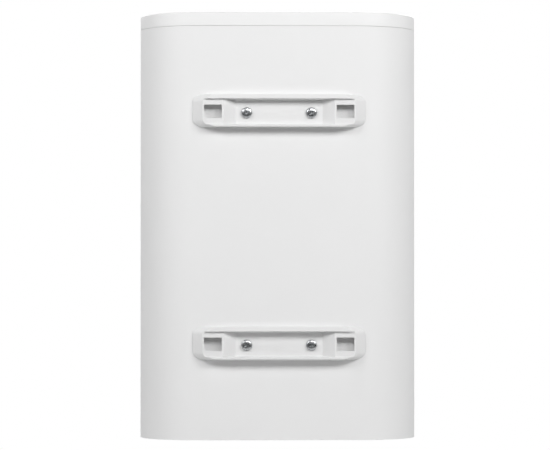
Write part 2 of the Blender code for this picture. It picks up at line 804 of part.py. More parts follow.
def insulation_foam():
    """The foam block: the case's inside with both tanks, their pipes and the saddles cut out of it."""
    bm = oval_bmesh(INNER_OFFSET, TANK_BOTTOM, FOAM_TOP_Z)
    foam = add_object("insulation_foam", mesh_from(bm, "insulation_foam"), material="foam")
    below = TANK_BOTTOM - THROUGH
    for side, sign in SIDES.items():
        outline = tank_outline(GAP)
        profile = outline + [(NECK_RADIUS + GAP, below), (0, below)]
        place = (sign * TANK_X, MID_Y, 0)
        cut(foam, turned(f"foam_cavity_{side}", profile, place, steps=TANK_STEPS))
        cut(foam, pipe_hole(f"foam_pipe_{side}", sign))
    cut(foam, crossover_hole("foam_cross"))
    reach = SADDLE_REACH + GAP
    for level in HOOK_LINES:
        centre = bracket_centre(level)
        pocket = box(
            f"saddle_pocket_{level}",
            (-reach, MID_Y + TANK_RADIUS / 2, centre - SADDLE_HALF - GAP),
            (reach, BACK_Y, centre + SADDLE_HALF + GAP),
        )
        cut(foam, pocket)


def nipple_place(sign):
    return (sign * NIPPLE_SPACING / 2, MID_Y + NIPPLE_SETBACK, 0)


def water_pipe(name, sign, top):
    """A pipe with its threaded nipple below the cap."""
    shoulder = FLOOR_TOP + NIPPLE_SHOULDER
    profile = [
        (TUBE_RADIUS, top),
        (TUBE_RADIUS, shoulder + TUBE_TAPER),
        (NIPPLE_RADIUS, shoulder),
        (NIPPLE_RADIUS, NIPPLE_END + THREAD_CHAMFER),
        (NIPPLE_RADIUS - THREAD_CHAMFER, NIPPLE_END),
        (NIPPLE_BORE, NIPPLE_END),
        (NIPPLE_BORE, top),
    ]
    turned(name, profile, nipple_place(sign), steps=24, material="stainless")


def water_pipes():
    water_pipe("cold_inlet_pipe", SIDES["left"], TANK_BOTTOM + INLET_RISE)
    water_pipe("hot_outlet_pipe", SIDES["right"], TANK_TOP - OUTLET_SHORT)
    rings = {"cold_ring": ("left", "blue_plastic"), "hot_ring": ("right", "red_plastic")}
    for name, (side, material) in rings.items():
        top = FLOOR_UNDER - GAP
        profile = tube_profile(RING_RADIUS, NIPPLE_RADIUS + PASS_GAP, top - RING_THICKNESS, top)
        turned(name, profile, nipple_place(SIDES[side]), steps=24, material=material)


def inlet_diffuser():
    """A slotted cap that spreads the cold water. It stands on the inlet's end."""
    low = TANK_BOTTOM + INLET_RISE + GAP
    high = low + DIFFUSER_HEIGHT
    profile = [
        (0, high),
        (DIFFUSER_RADIUS, high),
        (DIFFUSER_RADIUS, high - DIFFUSER_WALL),
        (TUBE_RADIUS, high - 2 * DIFFUSER_WALL),
        (TUBE_RADIUS, low),
        (NIPPLE_BORE, low),
        (NIPPLE_BORE, high - 2 * DIFFUSER_WALL),
        (0, high - DIFFUSER_WALL),
    ]
    place = nipple_place(SIDES["left"])
    cap = turned("inlet_diffuser", profile, place, steps=20, material="white_ceramic")
    half = DIFFUSER_SLOT / 2
    reach = 2 * DIFFUSER_RADIUS
    slot_low = low + DIFFUSER_WALL
    slot_high = high - 2.5 * DIFFUSER_WALL
    cut(cap, box("diffuser_slot", (-reach, -half, slot_low), (reach, half, slot_high), place=place))


def flange_points(side):
    """Where things pass through a heater flange, in plan."""
    x = SIDES[side] * TANK_X
    pocket_x = POCKET_OFFSET * math.cos(POCKET_TURN)
    pocket_y = POCKET_OFFSET * math.sin(POCKET_TURN)
    return {
        "leg_a": (x - ELEMENT_HALF, MID_Y + ELEMENT_OFFSET, ELEMENT_RADIUS),
        "leg_b": (x + ELEMENT_HALF, MID_Y + ELEMENT_OFFSET, ELEMENT_RADIUS),
        "anode": (x, MID_Y - ANODE_OFFSET, ANODE_STUD),
        "pocket": (x + pocket_x, MID_Y - pocket_y, POCKET_RADIUS),
    }


def heater_flange(side):
    """The galvanised plate that closes a tank's neck, with its stud."""
    place = (SIDES[side] * TANK_X, MID_Y, 0)
    stud_end = FLANGE_BOTTOM - STUD_LENGTH
    profile = [
        (0, FLANGE_TOP),
        (RIM_RADIUS, FLANGE_TOP),
        (RIM_RADIUS, FLANGE_BOTTOM),
        (STUD_RADIUS, FLANGE_BOTTOM),
        (STUD_RADIUS, stud_end),
        (0, stud_end),
    ]
    flange = turned(f"{side}_heater_flange", profile, place, steps=26, material="galvanised")
    for point, (x, y, radius) in flange_points(side).items():
        drill(flange, f"flange_{point}_{side}", radius + GAP, (x, y, 0), 12, FLANGE_BOTTOM, FLANGE_TOP)


def flange_gasket(side):
    gasket = tube_profile(RIM_RADIUS, NECK_BORE, GASKET_BOTTOM, GASKET_BOTTOM + GASKET_THICKNESS)
    place = (SIDES[side] * TANK_X, MID_Y, 0)
    turned(f"{side}_flange_gasket", gasket, place, steps=28, material="rubber")


def flange_clamp(side):
    """The bar that presses the flange up against the neck, and the nut on the stud."""
    place = (SIDES[side] * TANK_X, MID_Y, 0)
    reach = RIM_RADIUS + CLAMP_OVERHANG
    clamp = box(
        f"{side}_clamp_bar",
        (-reach, -CLAMP_WIDTH / 2, CLAMP_TOP - CLAMP_THICKNESS),
        (reach, CLAMP_WIDTH / 2, CLAMP_TOP),
        "galvanised",
        corner=CLAMP_WIDTH / 3,
        place=place,
    )
    drill(clamp, f"clamp_hole_{side}", STUD_RADIUS + PASS_GAP, place, 16, CLAMP_TOP, CLAMP_TOP)
    low = NUT_TOP - CLAMP_NUT_HEIGHT
    nut = cylinder(f"{side}_clamp_nut", CLAMP_NUT_RADIUS, low, NUT_TOP, place, steps=6, material="galvanised")
    drill(nut, f"nut_hole_{side}", STUD_RADIUS + GAP, place, 16, low, NUT_TOP)


def heating_element(side):
    """A sheathed rod bent into a long U, with both ends below the flange."""
    x = SIDES[side] * TANK_X
    curve = bpy.data.curves.new(f"{side}_heating_element", "CURVE")
    curve.dimensions = "3D"
    curve.bevel_depth = ELEMENT_RADIUS
    curve.bevel_resolution = 2
    curve.use_fill_caps = True
    low = FLANGE_BOTTOM - ELEMENT_TAIL
    high = TANK_BOTTOM + ELEMENT_RISE
    bend = [math.radians(180 - 180 * i / 8) for i in range(9)]
    points = [(-ELEMENT_HALF, low)]
    points += [(ELEMENT_HALF * math.cos(a), high + ELEMENT_HALF * math.sin(a)) for a in bend]
    points += [(ELEMENT_HALF, low)]
    spline = curve.splines.new("POLY")
    spline.points.add(len(points) - 1)
    for point, (px, pz) in zip(spline.points, points):
        point.co = (px, 0, pz, 1)
    obj = bpy.data.objects.new(curve.name, curve)
    obj.location = (x, MID_Y + ELEMENT_OFFSET, 0)
    obj.parent = ASSEMBLY
    PARTS.objects.link(obj)
    curve.materials.append(MATERIALS["copper"])


def anode(side):
    x, y, stud = flange_points(side)["anode"]
    low = FLANGE_BOTTOM - ANODE_TAIL
    foot = FLANGE_TOP + ANODE_FOOT
    high = TANK_BOTTOM + ANODE_RISE
    profile = [
        (0, high),
        (ANODE_RADIUS, high),
        (ANODE_RADIUS, foot),
        (stud, foot),
        (stud, low),
        (0, low),
    ]
    turned(f"{side}_anode", profile, (x, y, 0), steps=16, material="magnesium")


def sensor_pocket(side):
    x, y, radius = flange_points(side)["pocket"]
    high = TANK_BOTTOM + POCKET_RISE
    low = FLANGE_BOTTOM
    profile = [
        (0, high),
        (radius, high),
        (radius, low),
        (POCKET_BORE, low),
        (POCKET_BORE, high - POCKET_CROWN),
        (0, high - POCKET_CROWN),
    ]
    turned(f"{side}_sensor_pocket", profile, (x, y, 0), steps=12, material="stainless")


def thermal_cutout():
    """The overheat cut-out under the left flange, its probe up the sensor pocket, and its reset button."""
    probe_x, probe_y, _ = flange_points("left")["pocket"]
    x = SIDES["left"] * TANK_X + ANODE_STUD + CUTOUT_ROOM + CUTOUT_WIDTH / 2
    top = FLANGE_BOTTOM - GAP
    low = top - CUTOUT_HEIGHT
    back_y = MID_Y - CLAMP_WIDTH / 2 - GAP
    centre_y = back_y - CUTOUT_DEPTH / 2
    body = box(
        "thermal_cutout",
        (x - CUTOUT_WIDTH / 2, centre_y - CUTOUT_DEPTH / 2, low),
        (x + CUTOUT_WIDTH / 2, centre_y + CUTOUT_DEPTH / 2, top),
        "black_plastic",
        corner=0.002,
    )
    probe_place = (probe_x, probe_y, 0)
    probe_low = low + CUTOUT_HEIGHT / 6
    join(body, cylinder("probe", PROBE_RADIUS, probe_low, TANK_BOTTOM + PROBE_RISE, probe_place, steps=10))
    button_place = (x, centre_y, low)
    well_top = BUTTON_LENGTH + BUTTON_ROUND
    cut(
        body,
        cylinder("button_well", BUTTON_RADIUS + PASS_GAP, -BUTTON_ROUND, well_top, button_place, steps=16),
    )
    profile = [
        (0, BUTTON_LENGTH - BUTTON_PROUD),
        (BUTTON_RADIUS, BUTTON_LENGTH - BUTTON_PROUD),
        (BUTTON_RADIUS, BUTTON_ROUND - BUTTON_PROUD),
        (BUTTON_RADIUS * 0.7, -BUTTON_PROUD),
        (0, -BUTTON_PROUD),
    ]
    turned("reset_button", profile, button_place, steps=14, material="red_plastic")


def gland_place():
    return (GLAND_X, MID_Y + GLAND_SETBACK, 0)


def cable_gland():
    """The inlet for a supply lead: a body through the cap floor and a domed nut below it."""
    nut_top = FLOOR_UNDER - GAP
    low = FLOOR_UNDER - GLAND_DROP
    profile = [
        (GLAND_RADIUS, FLOOR_TOP + GLAND_RISE),
        (GLAND_RADIUS, nut_top),
        (GLAND_NUT_RADIUS, nut_top),
        (GLAND_NUT_RADIUS, low + GLAND_COLLAR),
        (GLAND_RADIUS * 0.9, low),
        (GLAND_BORE, low),
        (GLAND_BORE, FLOOR_TOP + GLAND_RISE),
    ]
    turned("cable_gland", profile, gland_place(), steps=18, material="black_plastic")


def terminal_block():
    size_x, size_y, size_z = BLOCK_SIZE
    low = FLOOR_TOP + GAP
    centre_y = MID_Y + BLOCK_SETBACK - size_y / 2
    block = box(
        "terminal_block",
        (-size_x / 2, -size_y / 2, low),
        (size_x / 2, size_y / 2, low + size_z),
        "white_ceramic",
        corner=0.0015,
        place=(BLOCK_X, centre_y, 0),
    )
    for index in (-1, 0, 1):
        place = (BLOCK_X + index * TERMINAL_PITCH, centre_y, 0)
        well = cylinder(
            f"terminal_{index + 1}", TERMINAL_RADIUS, low + size_z / 2, low + 2 * size_z, place, steps=12
        )
        cut(block, well)


def control_panel():
    half_x, half_z = PANEL_WIDTH / 2, PANEL_HEIGHT / 2
    bm = box_bmesh((-half_x, PANEL_FRONT, PANEL_Z - half_z), (half_x, PANEL_BACK, PANEL_Z + half_z))
    round_edges(bm, edges_along(bm, 1), PANEL_CORNER, 5)
    round_edges(bm, edges_at(bm, 1, PANEL_FRONT), PANEL_EDGE, 2)
    panel = add_object("control_panel", mesh_from(bm, "control_panel"), material="panel_plastic")
    middle = (PANEL_FRONT + PANEL_BACK) / 2
    holes = {
        "spindle": (0, 0, SPINDLE_RADIUS + PASS_GAP),
        "gauge": (GAUGE_X, 0, GAUGE_RADIUS + PASS_GAP),
        "lamp_high": (LAMP_X, LAMP_SPREAD, LAMP_RADIUS + PASS_GAP),
        "lamp_low": (LAMP_X, -LAMP_SPREAD, LAMP_RADIUS + PASS_GAP),
    }
    for name, (x, z, radius) in holes.items():
        place = (x, middle, PANEL_Z + z)
        cut(panel, cylinder(f"panel_{name}", radius, -THROUGH, THROUGH, place, axis="-Y", steps=24))
    half_w, half_h = housing_half()
    for index, x in enumerate(ROCKER_X):
        opening = box(
            f"panel_rocker_{index}",
            (x - half_w - PASS_GAP, middle - THROUGH, PANEL_Z - half_h - PASS_GAP),
            (x + half_w + PASS_GAP, middle + THROUGH, PANEL_Z + half_h + PASS_GAP),
        )
        cut(panel, opening)


def housing_half():
    """Half the width and height of a switch housing's body."""
    half_w = ROCKER_WIDTH / 2 + SWING_GAP + HOUSING_WALL
    half_h = ROCKER_HEIGHT / 2 + SWING_GAP + HOUSING_WALL
    return half_w, half_h


def switch_housing(name, x):
    """A cup through the panel with a flange round its mouth. Returns its object."""
    half_w, half_h = housing_half()
    front = PANEL_FRONT - GAP
    housing = box(
        f"{name}_housing",
        (x - half_w, front, PANEL_Z - half_h),
        (x + half_w, front + HOUSING_DEPTH, PANEL_Z + half_h),
        "black_plastic",
    )
    lap_w, lap_h = half_w + HOUSING_LAP, half_h + HOUSING_LAP
    flange = box(
        f"{name}_flange",
        (x - lap_w, front - HOUSING_FLANGE, PANEL_Z - lap_h),
        (x + lap_w, front, PANEL_Z + lap_h),
        corner=PANEL_EDGE,
        axis=1,
    )
    join(housing, flange)
    in_w, in_h = half_w - HOUSING_WALL, half_h - HOUSING_WALL
    pocket = box(
        f"{name}_pocket",
        (x - in_w, front - THROUGH, PANEL_Z - in_h),
        (x + in_w, front + HOUSING_DEPTH - HOUSING_WALL, PANEL_Z + in_h),
    )
    cut(housing, pocket)
    return housing


def rocker_key(name, pivot):
    """The key: a block whose front comes to a low ridge, tilted to its rest position."""
    half = Vector((ROCKER_WIDTH, ROCKER_DEPTH, ROCKER_HEIGHT)) / 2
    bm = box_bmesh(-half, half)
    corners = list(bm.verts)
    bmesh.ops.subdivide_edges(bm, edges=edges_along(bm, 2), cuts=1)
    for vert in bm.verts:
        if vert not in corners and vert.co.y < 0:
            vert.co.y += ROCKER_PEAK
    round_edges(bm, edges_along(bm, 0), ROCKER_ROUND, 1)
    key = f"{name}_rocker"
    return add_object(key, mesh_from(bm, key), pivot, (ROCKER_TILT, 0, 0), "black_plastic")


def rocker_switch(name, x):
    pivot = (x, PANEL_FRONT - GAP + ROCKER_PIVOT_DEPTH, PANEL_Z)
    reach = ROCKER_WIDTH / 2 + SWING_GAP + TRUNNION_REACH
    hole_reach = reach + GAP
    hole = cylinder(f"{name}_hole", TRUNNION_RADIUS + GAP, -hole_reach, hole_reach, pivot, "+X", 12)
    cut(switch_housing(name, x), hole)
    trunnion = cylinder(f"{name}_trunnion", TRUNNION_RADIUS, -reach, reach, pivot, "+X", 12)
    join(rocker_key(name, pivot), trunnion)


def temperature_knob():
    """The knob and its spindle, turned about the spindle's axis."""
    profile = [
        (0, KNOB_DEPTH),
        (KNOB_RADIUS * 0.84, KNOB_DEPTH),
        (KNOB_RADIUS * 0.92, KNOB_DEPTH - KNOB_CHAMFER),
        (KNOB_RADIUS, KNOB_SKIRT),
        (KNOB_RADIUS, 0),
        (SPINDLE_RADIUS, 0),
        (SPINDLE_RADIUS, -SPINDLE_LENGTH),
        (0, -SPINDLE_LENGTH),
    ]
    place = (0, KNOB_BACK, PANEL_Z)
    knob = turned("temperature_knob", profile, place, axis="-Y", steps=32, material="knob_plastic")
    groove = box(
        "pointer_groove",
        (-POINTER_WIDTH / 2, -KNOB_DEPTH - THROUGH, KNOB_RADIUS * 0.3),
        (POINTER_WIDTH / 2, -KNOB_DEPTH + POINTER_DEPTH, KNOB_RADIUS * 1.1),
        place=place,
        turn=(0, KNOB_REST_TURN, 0),
    )
    cut(knob, groove)


def thermostat():
    """The thermostat behind the knob, and the capillary from it to the right tank's pocket."""
    half = THERMOSTAT_SIZE / 2
    front = PANEL_BACK + SHEET + 2 * GAP
    body = box(
        "thermostat_body",
        (-half, front, PANEL_Z - half),
        (half, front + THERMOSTAT_DEPTH, PANEL_Z + half),
        "black_plastic",
        corner=half / 5,
        axis=1,
    )
    reach = SPINDLE_LENGTH + 0.2 * THROUGH
    bore_place = (0, KNOB_BACK, PANEL_Z)
    bore = cylinder("spindle_bore", SPINDLE_RADIUS + PASS_GAP, -reach, reach, bore_place, axis="-Y", steps=16)
    cut(body, bore)
    capillary(front + THERMOSTAT_DEPTH + GAP)


def capillary(start_y):
    """A thin tube that leaves the thermostat's back and bends up into the pocket."""
    x, y, _ = flange_points("right")["pocket"]
    low = FLANGE_BOTTOM - CAPILLARY_BEND
    route = [
        (0, start_y, PANEL_Z),
        (0, start_y + CAPILLARY_BEND, PANEL_Z),
        (x * 0.3, start_y + 2 * CAPILLARY_BEND, PANEL_Z),
        (x * 0.7, y - 2 * CAPILLARY_BEND, low - CAPILLARY_BEND / 3),
        (x, y - CAPILLARY_BEND * 2 / 3, low),
        (x, y, FLANGE_BOTTOM),
        (x, y, TANK_BOTTOM + PROBE_RISE),
    ]
    curve = bpy.data.curves.new("thermostat_capillary", "CURVE")
    curve.dimensions = "3D"
    curve.bevel_depth = CAPILLARY_RADIUS
    curve.bevel_resolution = 1
    curve.use_fill_caps = True
    spline = curve.splines.new("POLY")
    spline.points.add(len(route) - 1)
    for point, co in zip(spline.points, route):
        point.co = (*co, 1)
    obj = bpy.data.objects.new(curve.name, curve)
    obj.parent = ASSEMBLY
    PARTS.objects.link(obj)
    curve.materials.append(MATERIALS["copper"])


def pilot_lamps():
    lamps = {"heating_lamp": (LAMP_SPREAD, "lamp_red"), "power_lamp": (-LAMP_SPREAD, "lamp_green")}
    for name, (z, material) in lamps.items():
        profile = [
            (0, LAMP_PROUD),
            (LAMP_RADIUS * 0.8, LAMP_PROUD * 0.8),
            (LAMP_RADIUS * 1.2, LAMP_PROUD * 0.32),
            (LAMP_RADIUS * 1.2, 0),
            (LAMP_RADIUS, 0),
            (LAMP_RADIUS, -LAMP_LENGTH),
            (0, -LAMP_LENGTH),
        ]
        place = (LAMP_X, PANEL_FRONT - GAP, PANEL_Z + z)
        turned(name, profile, place, axis="-Y", steps=14, material=material)


def thermometer():
    """A dial thermometer: a cup with its bezel, a dial, a needle on its own axis, and a lens."""
    place = (GAUGE_X, PANEL_FRONT, PANEL_Z)
    inside = GAUGE_RADIUS - GAUGE_WALL
    rear = -GAUGE_DEPTH
    cup = [
        (inside, rear + GAUGE_WALL),
        (inside, GAUGE_BEZEL),
        (GAUGE_RADIUS, GAUGE_BEZEL),
        (GAUGE_RADIUS + GAUGE_WALL, GAUGE_BEZEL - PANEL_EDGE),
        (GAUGE_RADIUS + GAUGE_WALL, GAP),
        (GAUGE_RADIUS, GAP),
        (GAUGE_RADIUS, rear),
        (0, rear),
        (0, rear + GAUGE_WALL),
    ]
    case = turned("gauge_case", cup, place, axis="-Y", steps=32, material="screw_steel")
    dial_low = rear + GAUGE_WALL + GAP
    dial_high = dial_low + DIAL_THICKNESS
    dial = cylinder("gauge_dial", inside - GAP, dial_low, dial_high, place, "-Y", 32, "dial_white")
    needle_low = dial_high + NEEDLE_LIFT
    for body in (case, dial):
        hole = cylinder(f"{body.name}_hole", NEEDLE_SHAFT + GAP, 2 * rear, needle_low, place, "-Y", 12)
        cut(body, hole)
    gauge_needle(place, rear, needle_low)
    lens_low = GAUGE_BEZEL - LENS_SET_BACK - LENS_THICKNESS
    lens_high = GAUGE_BEZEL - LENS_SET_BACK
    cylinder("gauge_lens", inside - GAP, lens_low, lens_high, place, "-Y", 32, "lens_clear")


def gauge_needle(place, rear, low):
    """A hub on a thin shaft, with the pointer standing at its rest angle."""
    high = low + 2 * NEEDLE_THICKNESS
    hub = [
        (0, high),
        (NEEDLE_HUB, high),
        (NEEDLE_HUB, low),
        (NEEDLE_SHAFT, low),
        (NEEDLE_SHAFT, rear),
        (0, rear),
    ]
    needle = turned("gauge_needle", hub, place, axis="-Y", steps=12, material="needle_red")
    pointer = box(
        "needle_pointer",
        (-NEEDLE_WIDTH / 2, -low - NEEDLE_THICKNESS, -NEEDLE_LENGTH / 4),
        (NEEDLE_WIDTH / 2, -low, NEEDLE_LENGTH),
        place=place,
        turn=(0, NEEDLE_REST_TURN, 0),
    )
    join(needle, pointer)


def build():
    rear_casing()
    front_casing()
    top_cap()
    bottom_cap()
    service_cover()
    for level in HOOK_LINES:
        wall_bracket(level)
        saddle(level)
        for side in SIDES:
            bracket_screw(level, side)
    insulation_foam()
    crossover_pipe()
    water_pipes()
    inlet_diffuser()
    for side in SIDES:
        tank(side)
        heater_flange(side)
        flange_gasket(side)
        flange_clamp(side)
        heating_element(side)
        anode(side)
        sensor_pocket(side)
    thermal_cutout()
    cable_gland()
    terminal_block()
    control_panel()
    rocker_switch("power", ROCKER_X[0])
    rocker_switch("boost", ROCKER_X[1])
    temperature_knob()
    thermostat()
    pilot_lamps()
    thermometer()


build()
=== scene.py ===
"""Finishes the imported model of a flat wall-hung water heater: fine meshes, paint, metal and a studio."""

import json
import math

import bmesh
import bpy
from bpy.props import FloatProperty, FloatVectorProperty, IntProperty, PointerProperty
from mathutils import Matrix, Vector

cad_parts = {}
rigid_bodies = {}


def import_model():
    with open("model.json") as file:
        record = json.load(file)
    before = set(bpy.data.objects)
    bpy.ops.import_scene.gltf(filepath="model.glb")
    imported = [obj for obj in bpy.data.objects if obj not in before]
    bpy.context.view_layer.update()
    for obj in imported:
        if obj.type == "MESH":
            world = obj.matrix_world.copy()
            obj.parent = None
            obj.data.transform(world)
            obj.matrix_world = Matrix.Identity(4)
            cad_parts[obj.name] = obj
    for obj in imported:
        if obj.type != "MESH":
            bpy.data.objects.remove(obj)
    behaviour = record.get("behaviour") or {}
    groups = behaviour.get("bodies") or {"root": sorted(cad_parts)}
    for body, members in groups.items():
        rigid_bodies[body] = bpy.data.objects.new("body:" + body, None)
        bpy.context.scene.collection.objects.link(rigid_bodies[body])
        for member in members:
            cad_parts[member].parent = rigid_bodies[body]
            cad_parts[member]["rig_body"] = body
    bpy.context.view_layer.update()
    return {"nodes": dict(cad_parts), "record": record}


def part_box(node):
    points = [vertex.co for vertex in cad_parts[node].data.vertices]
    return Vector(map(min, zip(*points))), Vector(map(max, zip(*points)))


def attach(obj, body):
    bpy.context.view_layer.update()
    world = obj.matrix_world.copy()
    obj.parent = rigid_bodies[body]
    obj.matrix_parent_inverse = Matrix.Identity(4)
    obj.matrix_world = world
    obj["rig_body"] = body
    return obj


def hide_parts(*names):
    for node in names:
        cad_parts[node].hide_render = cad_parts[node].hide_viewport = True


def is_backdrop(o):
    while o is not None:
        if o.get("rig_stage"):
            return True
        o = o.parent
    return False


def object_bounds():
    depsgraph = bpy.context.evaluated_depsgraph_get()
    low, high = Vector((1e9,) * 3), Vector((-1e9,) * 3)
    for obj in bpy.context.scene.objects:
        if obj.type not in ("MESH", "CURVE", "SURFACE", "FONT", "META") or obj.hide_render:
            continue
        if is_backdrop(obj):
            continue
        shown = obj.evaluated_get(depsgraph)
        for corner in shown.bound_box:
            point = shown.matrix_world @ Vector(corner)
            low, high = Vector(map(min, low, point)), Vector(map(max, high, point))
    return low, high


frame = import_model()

bl_info = {
    "name": "Water heater finisher",
    "version": (1, 0, 0),
    "blender": (4, 5, 0),
    "location": "View3D > Sidebar > Heater",
    "description": "Builds the fine meshes, materials and studio of a flat storage water heater",
    "category": "Mesh",
}

NODE_SLOTS = {row["node"]: row["material_slot"] for row in frame["record"]["subparts"]}
LEVELS = ("upper", "lower")
SIDES = ("left", "right")
MM = 0.001
QUARTER_TURN = math.radians(90)
SMOOTH_ANGLE = math.radians(38)

SEAT_GAP = 0.3 * MM  # left between two pieces that touch
CUT_MARGIN = 5 * MM  # how far a cutter stands out of what it cuts
TRAY_REACH = 0.3  # half the length of the cutter of a bracket's tray, past both of its ends
PRINT_DEPTH = 0.05 * MM

# How far each bracket screw is turned, in degrees.
SCREW_TWISTS = {
    ("upper", "left"): 45,
    ("upper", "right"): 38,
    ("lower", "left"): 50,
    ("lower", "right"): 44,
}

# Turns of the knob and the needle, in degrees clockwise from the top.
KNOB_REST = -135
KNOB_TRAVEL = 270
NEEDLE_REST = -120
NEEDLE_TRAVEL = 240
DIAL_TOP = 80  # degrees Celsius at the end of the scale
DIAL_NUMERALS = (0, 20, 40, 60, 80)
# The dial's marks, by their step in degrees Celsius: how far they start from the card's edge, and their
# width, both in millimetres.
DIAL_TICKS = {20: (5.2, 0.5), 10: (4.2, 0.25), 2: (3.2, 0.25)}

# The finish of each material slot whose nodes stay as they are.
INNER_FINISHES = {
    "galvanised": "galvanised",
    "stainless": "stainless",
    "foam": "foam",
    "rubber": "rubber",
    "copper": "copper",
    "magnesium": "magnesium",
    "black_plastic": "black",
    "red_plastic": "red",
    "white_ceramic": "ceramic",
}


def linear(hex_colour):
    """A linear RGB colour from an sRGB hex value."""
    channels = [int(hex_colour[i : i + 2], 16) / 255 for i in (1, 3, 5)]
    return tuple(c / 12.92 if c <= 0.04045 else ((c + 0.055) / 1.055) ** 2.4 for c in channels)


def length(name, description, default_mm):
    return FloatProperty(
        name=name, description=description, default=default_mm * MM, min=0.0, precision=4, unit="LENGTH"
    )


def colour(name, description, hex_colour):
    return FloatVectorProperty(
        name=name,
        description=description,
        default=linear(hex_colour),
        size=3,
        min=0.0,
        max=1.0,
        subtype="COLOR",
    )


def count(name, description, default):
    return IntProperty(name=name, description=description, default=default, min=3)


class HeaterCaseSizes(bpy.types.PropertyGroup):
    corner_radius: length("Corner radius", "Radius of the case's four upright corners", 95)
    corner_steps: count("Corner steps", "Facets in each upright corner", 28)
    sheet: length("Sheet", "Thickness of the painted steel wrapper", 1.5)
    cap_wall: length("Cap wall", "Wall of the moulded end caps", 2.5)
    top_round: length("Top rounding", "Radius round the top cap's upper edge", 1.6)
    floor_round: length("Floor rounding", "Radius round the bottom cap's floor", 2)
    moulded_round: length("Moulded rounding", "Radius of the bottom cap's other edges", 0.5)
    seam_round: length("Seam rounding", "Radius of the edges that meet at a seam", 0.35)


class HeaterBracketSizes(bpy.types.PropertyGroup):
    corner: length("Corner", "Radius of the bracket's four corners", 12)
    edge: length("Edge", "Rounding of the outer edge", 0.6)
    press_round: length("Press rounding", "Radius of the other edges", 0.5)
    end_slope: length("End slope", "Length of each sloping end", 20)
    draft: length("Draft", "How far the long sides lean in", 0.3)
    pad_level: length("Pad level", "Height of the hook pads above the case", 14.5)
    pad_sheet: length("Pad sheet", "Thickness of the pad", 2.5)
    tray_top: length("Tray top", "Top of the tray above the bracket's middle", 18.2)
    tray_bottom: length("Tray bottom", "Bottom of the tray below the bracket's middle", 21.5)
    tray_fillet: length("Tray fillet", "Radius where a pad meets the tray's sides", 1)
    top_slope: length("Top slope", "How far the tray's upper side leans out up to the rim", 3.6)
    bottom_slope: length("Bottom slope", "How far the tray's lower side leans out down to the rim", 1.4)
    floor_level: length("Floor level", "Height of the screwed floor above the case", 3.5)
    floor_half: length("Floor half length", "Half the length of the floor", 68)
    floor_lean: length("Floor lean", "How far the sides of the sunk floor lean in", 0.8)
    floor_fillet: length("Floor fillet", "Radius where the floor meets its sides and ramps", 1.5)
    ramp: length("Ramp", "Length of each ramp from floor to pad", 18.5)
    hook_spacing: length("Hook spacing", "Distance between the hook holes", 205)
    hook_width: length("Hook hole width", "Width of a hook hole", 27.3)
    hook_height: length("Hook hole height", "Height of a hook hole", 20.8)
    hook_corner: length("Hook hole corner", "Radius of a hook hole's corners", 0.8)
    hook_drop: length("Hook hole drop", "How far the holes sit below the bracket's middle", 1.5)
    screw_hole: length("Screw hole", "Radius of a screw's hole", 4.6)


class HeaterScrewSizes(bpy.types.PropertyGroup):
    head_height: length("Head height", "Height of a bracket screw's head", 5.2)
    shank_radius: length("Shank radius", "Radius of a bracket screw's shank", 4)
    tip_chamfer: length("Tip chamfer", "Chamfer at the end of a bracket screw", 1)
    recess_reach: length("Recess reach", "How far an arm of the cross recess reaches", 5.2)
    recess_half: length("Recess half width", "Half the width of an arm", 1)
    recess_pit: length("Recess pit", "Half the width of the square pit in its middle", 2.6)
    recess_depth: length("Recess depth", "Depth of the cross recess", 3.2)
    recess_flare: length("Recess flare", "Height above the head at which the recess would be widest", 2)
    cover_head: length("Cover screw head", "Radius of a cover screw's head", 4.2)
    cover_height: length("Cover screw head height", "Height of a cover screw's head", 1.8)
    cover_shank: length("Cover screw shank", "Radius of a cover screw's shank", 2)
    cover_length: length("Cover screw length", "Length of a cover screw below its head", 9)


class HeaterControlSizes(bpy.types.PropertyGroup):
    panel_corner: length("Panel corner", "Radius of the panel's corners", 12)
    panel_edge: length("Panel edge", "Rounding of the panel's front edge", 1)
    hole_gap: length("Hole gap", "Gap round what passes through the panel", 0.6)
    flange_lap: length("Flange lap", "How far a flange laps its hole", 1.5)
    flange_corner: length("Flange corner", "Radius of the corners of a switch's flange", 1.4)
    flange_edge: length("Flange edge", "Rounding of a switch flange's front edge", 0.7)
    cup_wall: length("Cup wall", "Wall of a switch's housing", 2)
    spindle_hole: length("Spindle hole", "Diameter of the hole for the knob's spindle", 7.2)
    spindle: length("Spindle", "Radius of the knob's spindle", 3)
    dish_radius: length("Dish radius", "Radius of the dish round the knob at its floor", 21.7)
    dish_depth: length("Dish depth", "Depth of the dish round the knob", 0.8)
    scale_inner: length("Scale inner radius", "Where the marks round the knob start", 24)
    scale_outer: length("Scale outer radius", "Where the marks round the knob end", 26.4)
    scale_marks: count("Scale marks", "Number of marks round the knob", 11)
    lamp_radius: length("Lamp radius", "Radius of a pilot lamp's lens", 3)
    knob_flutes: count("Knob flutes", "Grip flutes round the knob", 30)
    flute_depth: length("Flute depth", "Depth of a grip flute", 0.7)
    key_width: length("Key width", "Width of a rocker key", 16)
    key_height: length("Key height", "Height of a rocker key", 23)
    key_depth: length("Key depth", "Depth of a rocker key", 6.5)
    key_ridge: length("Key ridge", "How far a key's middle sinks below its ends", 1.2)
    key_tilt: FloatProperty(
        name="Key tilt", description="Tilt of a key at rest", default=math.radians(9), subtype="ANGLE"
    )
    trunnion: length("Trunnion", "Radius of a key's trunnions", 1.2)
    trunnion_reach: length("Trunnion reach", "How far a trunnion stands out of the key", 2.6)
    trunnion_gap: length("Trunnion gap", "Gap round and behind a trunnion", 0.3)


